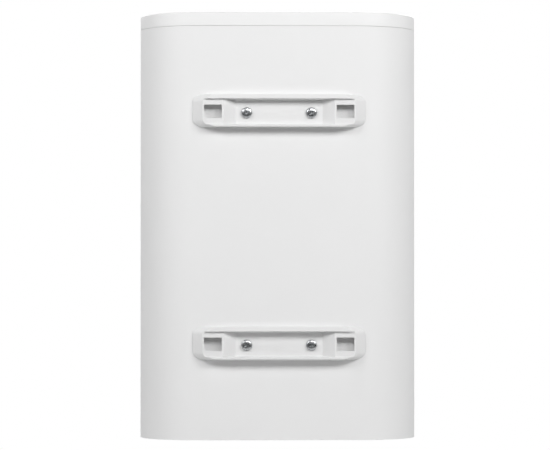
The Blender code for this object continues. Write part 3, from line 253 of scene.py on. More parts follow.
class HeaterUndersideSizes(bpy.types.PropertyGroup):
    cover_corner: length("Cover corner", "Radius of the service cover's corners", 20)
    cover_lap: length("Cover lap", "How far the cover laps its opening", 8)
    field_inset: length("Field inset", "Width of the cover's border round its sunk field", 12)
    field_step: length("Field step", "Depth and slope of the sunk field", 0.8)
    slot_pitch: length("Slot pitch", "Distance between the cover's slots", 22)
    slot_width: length("Slot width", "Width of a slot", 3)
    slot_length: length("Slot length", "Length of a slot", 28)
    hole_gap: length("Hole gap", "Gap round what passes through the bottom cap", 0.6)
    screw_hole: length("Screw hole", "Radius of a cover screw's hole", 2.3)
    nipple_step: length("Nipple step", "How far the thread stands out of the pipe", 1.45)
    pipe_wall: length("Pipe wall", "Wall of a water pipe", 1.5)
    thread_pitch: length("Thread pitch", "Pitch of the pipe thread", 1.814)
    thread_depth: length("Thread depth", "Depth of the pipe thread", 1.0)
    ring_bore: length("Ring bore", "Radius of the hole in a colour ring", 11.05)
    gland_body: length("Gland body", "Radius of the gland's threaded body", 8)
    gland_bore: length("Gland bore", "Radius of the gland's bore", 4.2)
    grip_ribs: count("Gland ribs", "Ribs round the gland's nut", 18)


class HeaterColours(bpy.types.PropertyGroup):
    case: colour("Case", "Powder coat of the wrapper", "#E7E7E7")
    cap: colour("Caps", "Moulded end caps", "#E8E8E8")
    bracket: colour("Brackets", "Powder coat of the brackets", "#E3E3E3")
    panel: colour("Panel", "Control panel", "#43474A")
    knob: colour("Knob", "Temperature knob", "#D4D6D6")


# ---------------------------------------------------------------- mesh tools


def cube_between(low, high):
    bm = bmesh.new()
    bmesh.ops.create_cube(bm, size=1.0)
    low, high = Vector(low), Vector(high)
    bmesh.ops.scale(bm, vec=high - low, verts=bm.verts)
    bmesh.ops.translate(bm, vec=(low + high) / 2, verts=bm.verts)
    return bm


def edges_along(bm, axis):
    others = [i for i in range(3) if i != axis]
    return [
        e for e in bm.edges if all(abs(e.verts[0].co[i] - e.verts[1].co[i]) < 1e-6 for i in others)
    ]


def edges_at(bm, axis, level):
    return [e for e in bm.edges if all(abs(v.co[axis] - level) < 1e-6 for v in e.verts)]


def round_edges(bm, edges, width, steps):
    bmesh.ops.bevel(
        bm,
        geom=edges,
        offset=width,
        offset_type="OFFSET",
        segments=steps,
        profile=0.5,
        affect="EDGES",
        clamp_overlap=True,
        material=-1,
    )


def remove_faces(bm, chosen):
    bmesh.ops.delete(bm, geom=chosen, context="FACES")


def scratch_object(bm, name="scratch"):
    mesh = bpy.data.meshes.new(name)
    bm.to_mesh(mesh)
    bm.free()
    obj = bpy.data.objects.new(name, mesh)
    bpy.context.scene.collection.objects.link(obj)
    return obj


def combined(bm, others, operation="DIFFERENCE"):
    """The shape with others cut away from it, or joined to it."""
    base = scratch_object(bm)
    tools = [scratch_object(other) for other in others]
    for tool in tools:
        step = base.modifiers.new("combine", "BOOLEAN")
        step.operation = operation
        step.object = tool
        step.solver = "EXACT"
    graph = bpy.context.evaluated_depsgraph_get()
    result = bmesh.new()
    result.from_mesh(base.evaluated_get(graph).to_mesh())
    for obj in [base, *tools]:
        bpy.data.objects.remove(obj, do_unlink=True)
    return result


def turned(profile, steps=48):
    """A solid of revolution round z. The profile lists (radius, height), from the top down its outer side."""
    bm = bmesh.new()
    verts = [bm.verts.new((radius, 0.0, height)) for radius, height in profile]
    closed = profile[0][0] > 0
    pairs = list(zip(verts, verts[1:])) + ([(verts[-1], verts[0])] if closed else [])
    edges = [bm.edges.new(pair) for pair in pairs]
    bmesh.ops.spin(
        bm, geom=verts + edges, cent=(0, 0, 0), axis=(0, 0, 1), angle=math.tau, steps=steps, use_merge=True
    )
    bmesh.ops.remove_doubles(bm, verts=bm.verts, dist=1e-7)
    bmesh.ops.recalc_face_normals(bm, faces=bm.faces)
    return bm


def placed(bm, place, axis="+Z"):
    """Turns a shape made along z to an axis, then moves it to its place."""
    turns = {
        "+Z": Matrix(),
        "-Z": Matrix.Rotation(math.pi, 4, "X"),
        "-Y": Matrix.Rotation(QUARTER_TURN, 4, "X"),
        "+Y": Matrix.Rotation(-QUARTER_TURN, 4, "X"),
    }
    bmesh.ops.transform(bm, matrix=Matrix.Translation(place) @ turns[axis], verts=bm.verts)
    return bm


def gathered(shapes):
    """Several shapes as one, without joining their surfaces."""
    made = bmesh.new()
    for shape in shapes:
        mesh = bpy.data.meshes.new("scratch")
        shape.to_mesh(mesh)
        shape.free()
        made.from_mesh(mesh)
        bpy.data.meshes.remove(mesh)
    return made


def rod(radius, low, high, place, axis="+Z", steps=48):
    return placed(turned([(0, high), (radius, high), (radius, low), (0, low)], steps), place, axis)


def ring(radius, bore, low, high, round_by, steps=64):
    """A flat ring with rounded edges, turned about z."""
    profile = [
        (bore, high),
        (radius - round_by, high),
        (radius, high - round_by),
        (radius, low + round_by),
        (radius - round_by, low),
        (bore, low),
    ]
    return turned(profile, steps)


def flat_mark(text, size):
    """Raised lettering in the plane of the front, with its middle at the origin."""
    curve = bpy.data.curves.new("mark", "FONT")
    curve.body = text
    curve.size = size
    curve.extrude = PRINT_DEPTH
    curve.align_x = "CENTER"
    curve.align_y = "CENTER"
    curve.resolution_u = 3
    obj = bpy.data.objects.new("mark", curve)
    bpy.context.scene.collection.objects.link(obj)
    graph = bpy.context.evaluated_depsgraph_get()
    bm = bmesh.new()
    bm.from_mesh(obj.evaluated_get(graph).to_mesh())
    bmesh.ops.remove_doubles(bm, verts=bm.verts, dist=1e-6)
    bpy.data.objects.remove(obj, do_unlink=True)
    return placed(bm, (0, 0, 0), "-Y")


def moved(bm, place):
    bmesh.ops.translate(bm, vec=place, verts=bm.verts)
    return bm


def rotated(bm, angle, axis):
    bmesh.ops.rotate(bm, verts=bm.verts, matrix=Matrix.Rotation(angle, 3, axis))
    return bm


def tick(turn_degrees, inner, outer, width):
    """A bar that points away from the middle of a dial. Turns run clockwise from the top."""
    bm = cube_between((-width / 2, -PRINT_DEPTH, inner), (width / 2, PRINT_DEPTH, outer))
    return rotated(bm, math.radians(turn_degrees), "Y")


def joint_place(name):
    rows = frame["record"]["behaviour"]["joints"]
    return Vector(next(row["pos_m"] for row in rows if row["name"] == name))


def node_middle(node):
    low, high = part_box(node)
    return (low + high) / 2


def extent(node):
    """A node's lowest and highest corners, its middle, and half its width along x."""
    low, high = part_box(node)
    return low, high, (low + high) / 2, (high.x - low.x) / 2


def add_piece(name, bm, material, stands_for=(), body="heater", bevel=0.0, steps=2):
    """Makes the shape an object that rides on its body and stands for its CAD nodes."""
    mesh = bpy.data.meshes.new(name)
    bm.to_mesh(mesh)
    bm.free()
    obj = bpy.data.objects.new(name, mesh)
    bpy.context.scene.collection.objects.link(obj)
    mesh.materials.append(material)
    mesh.shade_smooth()
    mesh.set_sharp_from_angle(angle=SMOOTH_ANGLE)
    if bevel:
        edge = obj.modifiers.new("edges", "BEVEL")
        edge.width = bevel
        edge.segments = steps
        edge.limit_method = "ANGLE"
        edge.angle_limit = math.radians(24)
        edge.miter_outer = "MITER_ARC"
        edge.harden_normals = True
    if stands_for:
        body = frame["nodes"][stands_for[0]]["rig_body"]
        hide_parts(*stands_for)
    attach(obj, body)
    return obj


# ---------------------------------------------------------------- materials


def add_node(tree, kind, settings=None, inputs=None):
    """Adds a node. Each input is given a value, or the output socket that it is linked from."""
    made = tree.nodes.new(kind)
    for key, value in (settings or {}).items():
        setattr(made, key, value)
    for key, value in (inputs or {}).items():
        if isinstance(value, bpy.types.NodeSocket):
            tree.links.new(value, made.inputs[key])
        else:
            made.inputs[key].default_value = value
    return made


def surface(name, rgb, roughness, metallic=0.0, **uniform):
    """A material with a Principled shader. Further arguments are the shader's own sockets."""
    made = bpy.data.materials.new(name)
    made.use_nodes = True
    shader = made.node_tree.nodes["Principled BSDF"]
    values = {"Base Color": (*rgb, 1.0), "Roughness": roughness, "Metallic": metallic}
    values.update({key.replace("_", " "): value for key, value in uniform.items()})
    for key, value in values.items():
        shader.inputs[key].default_value = value
    return made


def grain(made, size_mm, detail=2.0, stretch=(1, 1, 1)):
    """Noise whose blobs are about this large, in the object's own metres."""
    tree = made.node_tree
    where = add_node(tree, "ShaderNodeTexCoord")
    scaled = add_node(
        tree, "ShaderNodeMapping", inputs={"Vector": where.outputs["Object"], "Scale": stretch}
    )
    noise = add_node(
        tree,
        "ShaderNodeTexNoise",
        inputs={"Vector": scaled.outputs["Vector"], "Scale": 1 / (size_mm * MM), "Detail": detail},
    )
    return noise.outputs["Fac"]


def cells(made, size_mm, measure):
    """Irregular cells about this large. The measure is each cell's Color, or the Distance in it."""
    tree = made.node_tree
    where = add_node(tree, "ShaderNodeTexCoord")
    inputs = {"Vector": where.outputs["Object"], "Scale": 1 / (size_mm * MM)}
    return add_node(tree, "ShaderNodeTexVoronoi", inputs=inputs).outputs[measure]


def vary(made, pattern, share=0.0, gloss=None, relief_mm=0.0, strength=1.0):
    """Lets a pattern drive a finish.

    share is how much of itself the colour gains and loses, gloss is how far the roughness falls and
    rises, and relief_mm is the height of the pattern's bump.
    """
    tree = made.node_tree
    shader = tree.nodes["Principled BSDF"]
    if share:
        rgb = shader.inputs["Base Color"].default_value[:3]
        darker = (*[c * (1 - share) for c in rgb], 1)
        lighter = (*[min(1, c * (1 + share)) for c in rgb], 1)
        shade = add_node(tree, "ShaderNodeMix", {"data_type": "RGBA"}, {0: pattern, 6: darker, 7: lighter})
        tree.links.new(shade.outputs[2], shader.inputs["Base Color"])
    if gloss:
        middle = shader.inputs["Roughness"].default_value
        ends = {"To Min": middle - gloss[0], "To Max": middle + gloss[1]}
        spread = {"Value": pattern, "From Min": 0.25, "From Max": 0.75, **ends}
        dull = add_node(tree, "ShaderNodeMapRange", inputs=spread)
        tree.links.new(dull.outputs["Result"], shader.inputs["Roughness"])
    if relief_mm:
        heights = {"Height": pattern, "Distance": relief_mm * MM, "Strength": strength}
        bump = add_node(tree, "ShaderNodeBump", inputs=heights)
        tree.links.new(bump.outputs["Normal"], shader.inputs["Normal"])


def powder_coat(name, rgb, roughness=0.55):
    """Polyester powder coat on steel: white, satin, with the slight orange peel of baked powder."""
    made = surface(name, rgb, roughness, IOR=1.5, Specular_IOR_Level=0.4)
    vary(made, grain(made, 2.2, 1.0), relief_mm=0.010)
    vary(made, grain(made, 60, 1.0), share=0.006, gloss=(0.03, 0.03))
    return made


def moulded_abs(name, rgb, roughness=0.5, grain_mm=0.9):
    """Injection-moulded ABS with a spark-eroded tool texture, drawn at about twice its real grain."""
    made = surface(name, rgb, roughness, IOR=1.53)
    vary(made, grain(made, grain_mm, 2.0), relief_mm=0.02, strength=0.6)
    vary(made, grain(made, 45, 1.0), gloss=(0.04, 0.04))
    return made


def zinc_plate(name):
    """Bright zinc plate on a cold-headed screw: a grey metal with small dull patches."""
    made = surface(name, linear("#B9BBBD"), 0.3, 1.0)
    vary(made, grain(made, 1.6, 3.0), share=0.08, gloss=(0.1, 0.1))
    return made


def gloss_plastic(name, rgb, roughness=0.22):
    """Polished injection-moulded plastic: a clear highlight, broken by faint flow waviness."""
    made = surface(name, rgb, roughness, IOR=1.5, Coat_Weight=0.15)
    vary(made, grain(made, 6, 1.0), relief_mm=0.01)
    vary(made, grain(made, 1.2, 3.0), gloss=(0.05, 0.08))
    return made


def tinted_lens(name, rgb):
    """Translucent moulded polycarbonate over a lamp: saturated, glossy, slightly see-through."""
    made = surface(name, rgb, 0.15, IOR=1.58, Transmission_Weight=0.35, Coat_Weight=0.3)
    vary(made, grain(made, 1.5, 2.0), share=0.12)
    return made


def rolled_steel(name, hex_colour, roughness, grain_mm, stretch):
    """Rolled sheet metal, with streaks that run along the rolling direction."""
    made = surface(name, linear(hex_colour), roughness, 1.0)
    streak = grain(made, grain_mm, 3.0, stretch)
    vary(made, streak, share=0.06, gloss=(0.08, 0.1), relief_mm=0.01, strength=0.5)
    return made


def spangled_zinc(name):
    """Hot-dip galvanised steel: grey zinc in crystals about 8 mm across, each with its own gloss."""
    made = surface(name, linear("#A9ADB0"), 0.42, 1.0)
    vary(made, cells(made, 8, "Color"), share=0.12, gloss=(0.1, 0.1))
    return made


def cast_metal(name, hex_colour, roughness, grain_mm):
    """Cast or drawn metal with a dull, pitted skin."""
    made = surface(name, linear(hex_colour), roughness, 1.0)
    vary(made, grain(made, grain_mm, 4.0), share=0.15, relief_mm=0.05)
    return made


def rigid_foam():
    """Polyurethane foam blown in place: straw-coloured and matt, with open cells of about 1 mm."""
    made = surface("polyurethane_foam", linear("#E0CE9C"), 0.95, IOR=1.45)
    vary(made, cells(made, 1, "Distance"), relief_mm=0.3)
    vary(made, grain(made, 30, 3.0), share=0.1)
    return made


def printed_ink(name, hex_colour):
    """Pad-printed ink: flat and slightly uneven in density."""
    made = surface(name, linear(hex_colour), 0.6, IOR=1.5)
    vary(made, grain(made, 0.4, 2.0), share=0.06)
    return made


def clear_glass():
    """Float glass cut to a disc: clear, with a faint green cast, a thin gloss and a little dust."""
    made = surface("float_glass", linear("#F6FBF8"), 0.02, IOR=1.52, Alpha=0.12)
    vary(made, grain(made, 3, 4.0), gloss=(0.01, 0.03))
    return made


MATERIALS = {}


def make_materials():
    colours = bpy.context.scene.heater_colours
    MATERIALS.update(
        case=powder_coat("white_powder_coat", colours.case),
        bracket=powder_coat("bracket_powder_coat", colours.bracket, 0.5),
        cap=moulded_abs("white_moulded_abs", colours.cap),
        zinc=zinc_plate("bright_zinc_plate"),
        panel=moulded_abs("grey_moulded_abs", colours.panel, 0.42, 0.7),
        knob=gloss_plastic("silver_lacquered_abs", colours.knob, 0.28),
        black=moulded_abs("black_moulded_nylon", linear("#1D1E1F"), 0.5, 0.6),
        gloss_black=gloss_plastic("black_polished_abs", linear("#161718"), 0.25),
        blue=gloss_plastic("blue_polypropylene", linear("#1F4FA8"), 0.35),
        red=gloss_plastic("red_polypropylene", linear("#B8231D"), 0.35),
        lamp_red=tinted_lens("red_lamp_polycarbonate", linear("#D8281C")),
        lamp_green=tinted_lens("green_lamp_polycarbonate", linear("#2FA84A")),
        card=printed_ink("white_dial_card", "#F4F3EF"),
        pale_ink=printed_ink("pale_grey_ink", "#DADCDC"),
        dark_ink=printed_ink("black_dial_ink", "#202224"),
        needle=gloss_plastic("red_needle_lacquer", linear("#C4241C"), 0.4),
        chrome=rolled_steel("polished_bezel_steel", "#D2D4D6", 0.12, 3, (1, 1, 1)),
        glass=clear_glass(),
        galvanised=spangled_zinc("hot_dip_galvanised_steel"),
        stainless=rolled_steel("mill_finish_stainless", "#BDBEBE", 0.3, 1.5, (1, 1, 0.1)),
        copper=cast_metal("drawn_copper", "#C8805A", 0.35, 2),
        magnesium=cast_metal("cast_magnesium", "#9A9A98", 0.6, 1.2),
        foam=rigid_foam(),
        rubber=moulded_abs("black_nitrile_rubber", linear("#1A1A1A"), 0.8, 0.8),
        ceramic=moulded_abs("cream_moulded_steatite", linear("#E9E4D6"), 0.45, 1.5),
    )


# ---------------------------------------------------------------- case


def case_corners():
    """The plan corners of the case, from the two casing halves."""
    front_low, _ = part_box("front_casing")
    _, rear_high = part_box("rear_casing")
    return Vector((front_low.x, front_low.y)), Vector((rear_high.x, rear_high.y))


def oval_prism(inset, low_z, high_z):
    sizes = bpy.context.scene.heater_case
    low, high = case_corners()
    bm = cube_between((low.x + inset, low.y + inset, low_z), (high.x - inset, high.y - inset, high_z))
    round_edges(bm, edges_along(bm, 2), sizes.corner_radius - inset, sizes.corner_steps)
    return bm


def control_holes(low_y, high_y):
    """Cutters for the knob's spindle, the lamps, the thermometer and the switches."""
    sizes = bpy.context.scene.heater_controls
    low_y, high_y = low_y - CUT_MARGIN, high_y + CUT_MARGIN
    lap = sizes.flange_lap - sizes.hole_gap
    radii = {
        "temperature_knob": sizes.spindle_hole / 2,
        "heating_lamp": sizes.lamp_radius + sizes.hole_gap,
        "power_lamp": sizes.lamp_radius + sizes.hole_gap,
        "gauge_case": extent("gauge_case")[3] - lap,
    }
    cuts = []
    for node, radius in radii.items():
        place = node_middle(node)
        cuts.append(rod(radius, -high_y, -low_y, (place.x, 0, place.z), "-Y"))
    for node in ("power_housing", "boost_housing"):
        low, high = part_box(node)
        cuts.append(cube_between((low.x + lap, low_y, low.z + lap), (high.x - lap, high_y, high.z - lap)))
    return cuts


def casing_half(node, side):
    """A painted sheet bent round half the case. side is +1 at the wall and -1 at the front."""
    sizes = bpy.context.scene.heater_case
    low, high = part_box(node)
    bm = oval_prism(0.0, low.z, high.z)
    remove_faces(bm, [face for face in bm.faces if abs(face.normal.z) > 0.5])
    seam = low.y if side > 0 else high.y
    bmesh.ops.bisect_plane(
        bm,
        geom=bm.verts[:] + bm.edges[:] + bm.faces[:],
        plane_co=(0, seam, 0),
        plane_no=(0, side, 0),
        clear_inner=True,
    )
    bmesh.ops.solidify(bm, geom=bm.faces[:], thickness=sizes.sheet)
    return bm


class HEATER_OT_casing(bpy.types.Operator):
    """Builds the two halves of the painted wrapper"""

    bl_idname = "heater.casing"
    bl_label = "Casing"

    def execute(self, context):
        sizes = context.scene.heater_case
        rear = casing_half("rear_casing", 1)
        add_piece("rear_casing_skin", rear, MATERIALS["case"], ["rear_casing"], bevel=sizes.seam_round)
        front_low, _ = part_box("front_casing")
        front = casing_half("front_casing", -1)
        front = combined(front, control_holes(front_low.y, front_low.y + sizes.sheet))
        add_piece("front_casing_skin", front, MATERIALS["case"], ["front_casing"], bevel=sizes.seam_round)
        return {"FINISHED"}


class HEATER_OT_top_cap(bpy.types.Operator):
    """Builds the moulded cap that closes the top of the case"""

    bl_idname = "heater.top_cap"
    bl_label = "Top cap"

    def execute(self, context):
        sizes = context.scene.heater_case
        _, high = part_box("top_cap")
        _, case_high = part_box("rear_casing")
        bm = oval_prism(0.0, case_high.z + SEAT_GAP, high.z)
        round_edges(bm, edges_at(bm, 2, high.z), sizes.top_round, 4)
        remove_faces(bm, [face for face in bm.faces if face.normal.z < -0.5])
        bmesh.ops.solidify(bm, geom=bm.faces[:], thickness=sizes.cap_wall)
        add_piece("top_cap_skin", bm, MATERIALS["cap"], ["top_cap"], bevel=sizes.seam_round)
        return {"FINISHED"}


# ---------------------------------------------------------------- brackets


def frustum(near, far, near_y, far_y):
    """A tapered block along y. Each end is half its length along x, its lowest z and its highest z."""
    bm = cube_between((-near[0], near_y, near[1]), (near[0], far_y, near[2]))
    for vert in bm.verts:
        if abs(vert.co.y - far_y) < 1e-9:
            vert.co.x = math.copysign(far[0], vert.co.x)
            vert.co.z = far[2] if abs(vert.co.z - near[2]) < 1e-9 else far[1]
    return bm


def bracket_body(sizes, half_x, half_z, depth):
    """The bracket's outer form: sloping ends, slightly leaning sides, round corners and a round edge."""
    bm = cube_between((-half_x, 0, -half_z), (half_x, depth, half_z))
    for vert in bm.verts:
        if vert.co.y > depth / 2:
            vert.co.x = math.copysign(half_x - sizes.end_slope, vert.co.x)
            vert.co.z = math.copysign(half_z - sizes.draft, vert.co.z)
    upright = [e for e in bm.edges if abs(e.verts[0].co.y - e.verts[1].co.y) > depth / 2]
    round_edges(bm, upright, sizes.corner, 10)
    round_edges(bm, edges_at(bm, 1, depth), sizes.edge, 5)
    return bm


def bracket_cuts(sizes, half_x, depth, screw_x, screw_z):
    """Cutters for the tray, the sunk floor and its ramps, and each end's pocket, hook hole and screw hole."""
    above = depth + CUT_MARGIN
    rise = (above - sizes.pad_level) / (depth - sizes.pad_level)
    low_z, high_z = -sizes.tray_bottom, sizes.tray_top
    tray = frustum(
        (TRAY_REACH, low_z, high_z),
        (TRAY_REACH, low_z - sizes.bottom_slope * rise, high_z + sizes.top_slope * rise),
        sizes.pad_level,
        above,
    )
    round_edges(tray, edges_at(tray, 1, sizes.pad_level), sizes.tray_fillet, 4)
    share = (above - sizes.floor_level) / (sizes.pad_level - sizes.floor_level)
    lean = sizes.floor_lean
    far_lean = lean * (1 - share)
    middle = frustum(
        (sizes.floor_half, low_z + lean, high_z - lean),
        (sizes.floor_half + sizes.ramp * share, low_z + far_lean, high_z - far_lean),
        sizes.floor_level,
        above,
    )
    round_edges(middle, edges_at(middle, 1, sizes.floor_level), sizes.floor_fillet, 4)
    cuts = [tray, middle]
    pocket_ends = (sizes.floor_half + sizes.ramp, half_x - sizes.end_slope + sizes.pad_sheet)
    pocket_low, hole_low = -1 * MM, 1 * MM
    half_w, half_h = sizes.hook_width / 2, sizes.hook_height / 2
    screw_reach = 20 * MM
    for sign in (-1, 1):
        near, far = sorted(sign * end for end in pocket_ends)
        pocket_high = sizes.pad_level - sizes.pad_sheet
        cuts.append(cube_between((near, pocket_low, -sizes.tray_top), (far, pocket_high, sizes.tray_top)))
        x, z = sign * sizes.hook_spacing / 2, -sizes.hook_drop
        hole = cube_between((x - half_w, hole_low, z - half_h), (x + half_w, above, z + half_h))
        round_edges(hole, edges_along(hole, 1), sizes.hook_corner, 3)
        cuts.append(hole)
        place = (sign * screw_x, 0, screw_z)
        cuts.append(rod(sizes.screw_hole, -screw_reach, screw_reach, place, "-Y", 32))
    return cuts


def wall_bracket(level):
    sizes = bpy.context.scene.heater_bracket
    node = f"{level}_wall_bracket"
    low, high, middle, half_x = extent(node)
    depth = high.y - low.y
    screw = node_middle(f"bracket_screw_{level}_right")
    bm = bracket_body(sizes, half_x, (high.z - low.z) / 2, depth)
    bm = combined(bm, bracket_cuts(sizes, half_x, depth, screw.x, screw.z - middle.z))
    moved(bm, (0, low.y, middle.z))
    bmesh.ops.dissolve_limit(bm, angle_limit=math.radians(0.5), verts=bm.verts, edges=bm.edges)
    add_piece(f"{node}_pressing", bm, MATERIALS["bracket"], [node], bevel=sizes.press_round, steps=3)


class HEATER_OT_brackets(bpy.types.Operator):
    """Builds the two pressed wall brackets"""

    bl_idname = "heater.brackets"
    bl_label = "Wall brackets"

    def execute(self, context):
        for level in LEVELS:
            wall_bracket(level)
        return {"FINISHED"}


def crown(radius, height, step_degrees, side_power, top_power):
    """A pan head's outline. Powers under 1 fill a dome out towards a drum."""
    rim = [math.radians(a) for a in range(0, 91, step_degrees)]
    return [(radius * math.sin(a) ** side_power, height * math.cos(a) ** top_power) for a in rim]


def cross_recess(blades, floor, top, taper=(1, 1)):
    """Cutters for a cross recess. Each turn's blade is its half length and half width."""
    cutters = []
    for turn, (reach, half) in blades.items():
        blade = cube_between((-reach, -half, floor), (reach, half, top))
        for vert in blade.verts:
            if vert.co.z < (floor + top) / 2:
                vert.co.x *= taper[0]
                vert.co.y *= taper[1]
        cutters.append(rotated(blade, turn, "Z"))
    return cutters


def bracket_screw(level, side):
    """A pan head with a rounded rim and a tapered cross recess."""
    sizes = bpy.context.scene.heater_screws
    node = f"bracket_screw_{level}_{side}"
    low, high, middle, radius = extent(node)
    head, shank, chamfer = sizes.head_height, sizes.shank_radius, sizes.tip_chamfer
    tip = high.y - low.y - head
    profile = crown(radius, head, 10, 0.6, 0.45)
    profile += [(shank, 0), (shank, -tip + chamfer), (shank - chamfer, -tip), (0, -tip)]
    arm = (sizes.recess_reach, sizes.recess_half)
    pit = (sizes.recess_pit, sizes.recess_pit)
    blades = {0: arm, QUARTER_TURN: arm, QUARTER_TURN / 2: pit}
    cutters = cross_recess(blades, head - sizes.recess_depth, head + sizes.recess_flare, (0.4, 0.5))
    bm = combined(turned(profile, 48), cutters)
    rotated(bm, math.radians(SCREW_TWISTS[level, side]), "Z")
    placed(bm, (middle.x, high.y - head, middle.z), "+Y")
    add_piece(f"{node}_head", bm, MATERIALS["zinc"], [node], bevel=0.15 * MM)


class HEATER_OT_bracket_screws(bpy.types.Operator):
    """Builds the four cross-recess screws that hold the brackets"""

    bl_idname = "heater.bracket_screws"
    bl_label = "Bracket screws"

    def execute(self, context):
        for level in LEVELS:
            for side in SIDES:
                bracket_screw(level, side)
        return {"FINISHED"}


# ---------------------------------------------------------------- underside


def cross_head(radius, height, shank, tip):
    """A small pan-head screw along z with a cross recess. Its seat is at zero."""
    profile = crown(radius, height, 15, 0.8, 0.75)
    profile += [(shank, 0), (shank, -tip + shank / 3), (shank * 2 / 3, -tip), (0, -tip)]
    arm = (radius * 0.55, radius * 0.12)
    cutters = cross_recess({0: arm, QUARTER_TURN: arm}, height * 0.45, height * 2)
    return combined(turned(profile, 32), cutters)


def cover_screw_holes(low_z, high_z):
    radius = bpy.context.scene.heater_underside.screw_hole
    places = [node_middle(f"cover_screw_{number}") for number in (1, 2, 3, 4)]
    return [rod(radius, low_z, high_z, (place.x, place.y, 0), steps=24) for place in places]


def bottom_cap():
    """The moulded tray that closes the case below, open downwards, with all its holes."""
    case = bpy.context.scene.heater_case
    under = bpy.context.scene.heater_underside
    low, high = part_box("bottom_cap")
    case_low, _ = case_corners()
    bm = oval_prism(low.x - case_low.x, low.z, high.z)
    remove_faces(bm, [face for face in bm.faces if face.normal.z < -0.5])
    round_edges(bm, edges_at(bm, 2, high.z), case.floor_round, 3)
    bmesh.ops.solidify(bm, geom=bm.faces[:], thickness=case.cap_wall)
    floor_low, floor_high = high.z - 3 * case.cap_wall, high.z + case.cap_wall
    cover_low, cover_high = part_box("service_cover")
    lap = under.cover_lap
    service = cube_between(
        (cover_low.x + lap, cover_low.y + lap, floor_low),
        (cover_high.x - lap, cover_high.y - lap, floor_high),
    )
    round_edges(service, edges_along(service, 2), under.cover_corner - lap, 8)
    holes = [service]
    radii = {node: extent(node)[3] for node in ("cold_inlet_pipe", "hot_outlet_pipe")}
    radii["cable_gland"] = under.gland_body
    for node, radius in radii.items():
        middle = node_middle(node)
        holes.append(rod(radius + under.hole_gap, floor_low, floor_high, (middle.x, middle.y, 0)))
    bm = combined(bm, holes + cover_screw_holes(floor_low, floor_high))
    add_piece("bottom_cap_moulding", bm, MATERIALS["cap"], ["bottom_cap"], bevel=case.moulded_round)


def service_cover():
    """A flat lid with a sunk field, a row of slots and a hole for each screw."""
    under = bpy.context.scene.heater_underside
    low, high, middle, _ = extent("service_cover")
    low_z, high_z = low.z - 1 * MM, high.z + 1 * MM
    bm = cube_between(low, high)
    round_edges(bm, edges_along(bm, 2), under.cover_corner, 10)
    bottom = [face for face in bm.faces if face.normal.z < -0.5]
    bmesh.ops.inset_region(bm, faces=bottom, thickness=under.field_inset, depth=0)
    bmesh.ops.inset_region(bm, faces=bottom, thickness=under.field_step, depth=-under.field_step)
    cuts = cover_screw_holes(low_z, high_z)
    half_w, half_l = under.slot_width / 2, under.slot_length / 2
    for row in range(-3, 4):
        x = middle.x + row * under.slot_pitch
        slot = cube_between((x - half_w, middle.y - half_l, low_z), (x + half_w, middle.y + half_l, high_z))
        round_edges(slot, edges_along(slot, 2), half_w - 0.1 * MM, 5)
        cuts.append(slot)
    add_piece("service_cover_lid", combined(bm, cuts), MATERIALS["cap"], ["service_cover"], bevel=0.35 * MM)


def cover_screw(number):
    sizes = bpy.context.scene.heater_screws
    node = f"cover_screw_{number}"
    middle = node_middle(node)
    head = cross_head(sizes.cover_head, sizes.cover_height, sizes.cover_shank, sizes.cover_length)
    placed(head, (middle.x, middle.y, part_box("service_cover")[0].z - SEAT_GAP), "-Z")
    add_piece(f"{node}_head", head, MATERIALS["zinc"], [node], bevel=0.12 * MM)


def water_pipe(node):
    """A pipe whose lower end is a threaded nipple."""
    under = bpy.context.scene.heater_underside
    low, high, middle, radius = extent(node)
    tube = radius - under.nipple_step
    bore = tube - under.pipe_wall
    pitch, root = under.thread_pitch, radius - under.thread_depth
    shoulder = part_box("bottom_cap")[1].z + 6 * MM
    thread_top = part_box("cold_ring")[0].z - 1 * MM
    profile = [(bore, high.z), (tube, high.z), (tube, shoulder + 2 * MM), (radius, shoulder)]
    profile.append((radius, thread_top))
    for turn in range(int((thread_top - low.z - 1 * MM) / pitch)):
        top = thread_top - turn * pitch
        profile += [(root, top - 0.45 * pitch), (root, top - 0.55 * pitch)]
        profile += [(radius, top - 0.95 * pitch), (radius, top - 1.05 * pitch)]
    profile += [(root, low.z), (bore, low.z)]
    bm = placed(turned(profile, 64), (middle.x, middle.y, 0))
    add_piece(f"{node}_nipple", bm, MATERIALS["stainless"], [node])


def colour_ring(node, material):
    """A plastic ring round a pipe: blue marks the cold inlet and red the hot outlet."""
    bore = bpy.context.scene.heater_underside.ring_bore
    low, high, middle, radius = extent(node)
    bm = placed(ring(radius, bore, low.z, high.z, 0.8 * MM), (middle.x, middle.y, 0))
    add_piece(f"{node}_washer", bm, MATERIALS[material], [node], bevel=0.3 * MM)


def cable_gland():
    """A nylon gland: a ribbed dome nut on a threaded body, with a chamfered mouth for the lead."""
    under = bpy.context.scene.heater_underside
    low, high, middle, nut = extent("cable_gland")
    body, bore = under.gland_body, under.gland_bore
    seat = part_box("bottom_cap")[1].z - bpy.context.scene.heater_case.cap_wall - SEAT_GAP
    rib_depth = 0.035
    profile = [
        (bore, high.z),
        (body, high.z),
        (body, seat),
        (nut, seat),
        (nut, seat - 4.5 * MM),
        (nut * 0.94, seat - 5.5 * MM),
        (nut * 0.94, low.z + 6 * MM),
        (nut * 0.9, low.z + 3.6 * MM),
        (nut * 0.76, low.z + 1.2 * MM),
        (nut * 0.6, low.z),
        (bore * 1.25, low.z),
        (bore, low.z + 1.2 * MM),
    ]
    bm = turned(profile, under.grip_ribs * 6)
    for vert in bm.verts:
        if vert.co.z < seat - 5 * MM and vert.co.xy.length > nut * 0.7:
            wave = math.cos(under.grip_ribs * math.atan2(vert.co.y, vert.co.x))
            vert.co.xy *= 1 - rib_depth * (1 - wave) / 2
    placed(bm, (middle.x, middle.y, 0))
    add_piece("cable_gland_nylon", bm, MATERIALS["black"], ["cable_gland"], bevel=0.2 * MM)


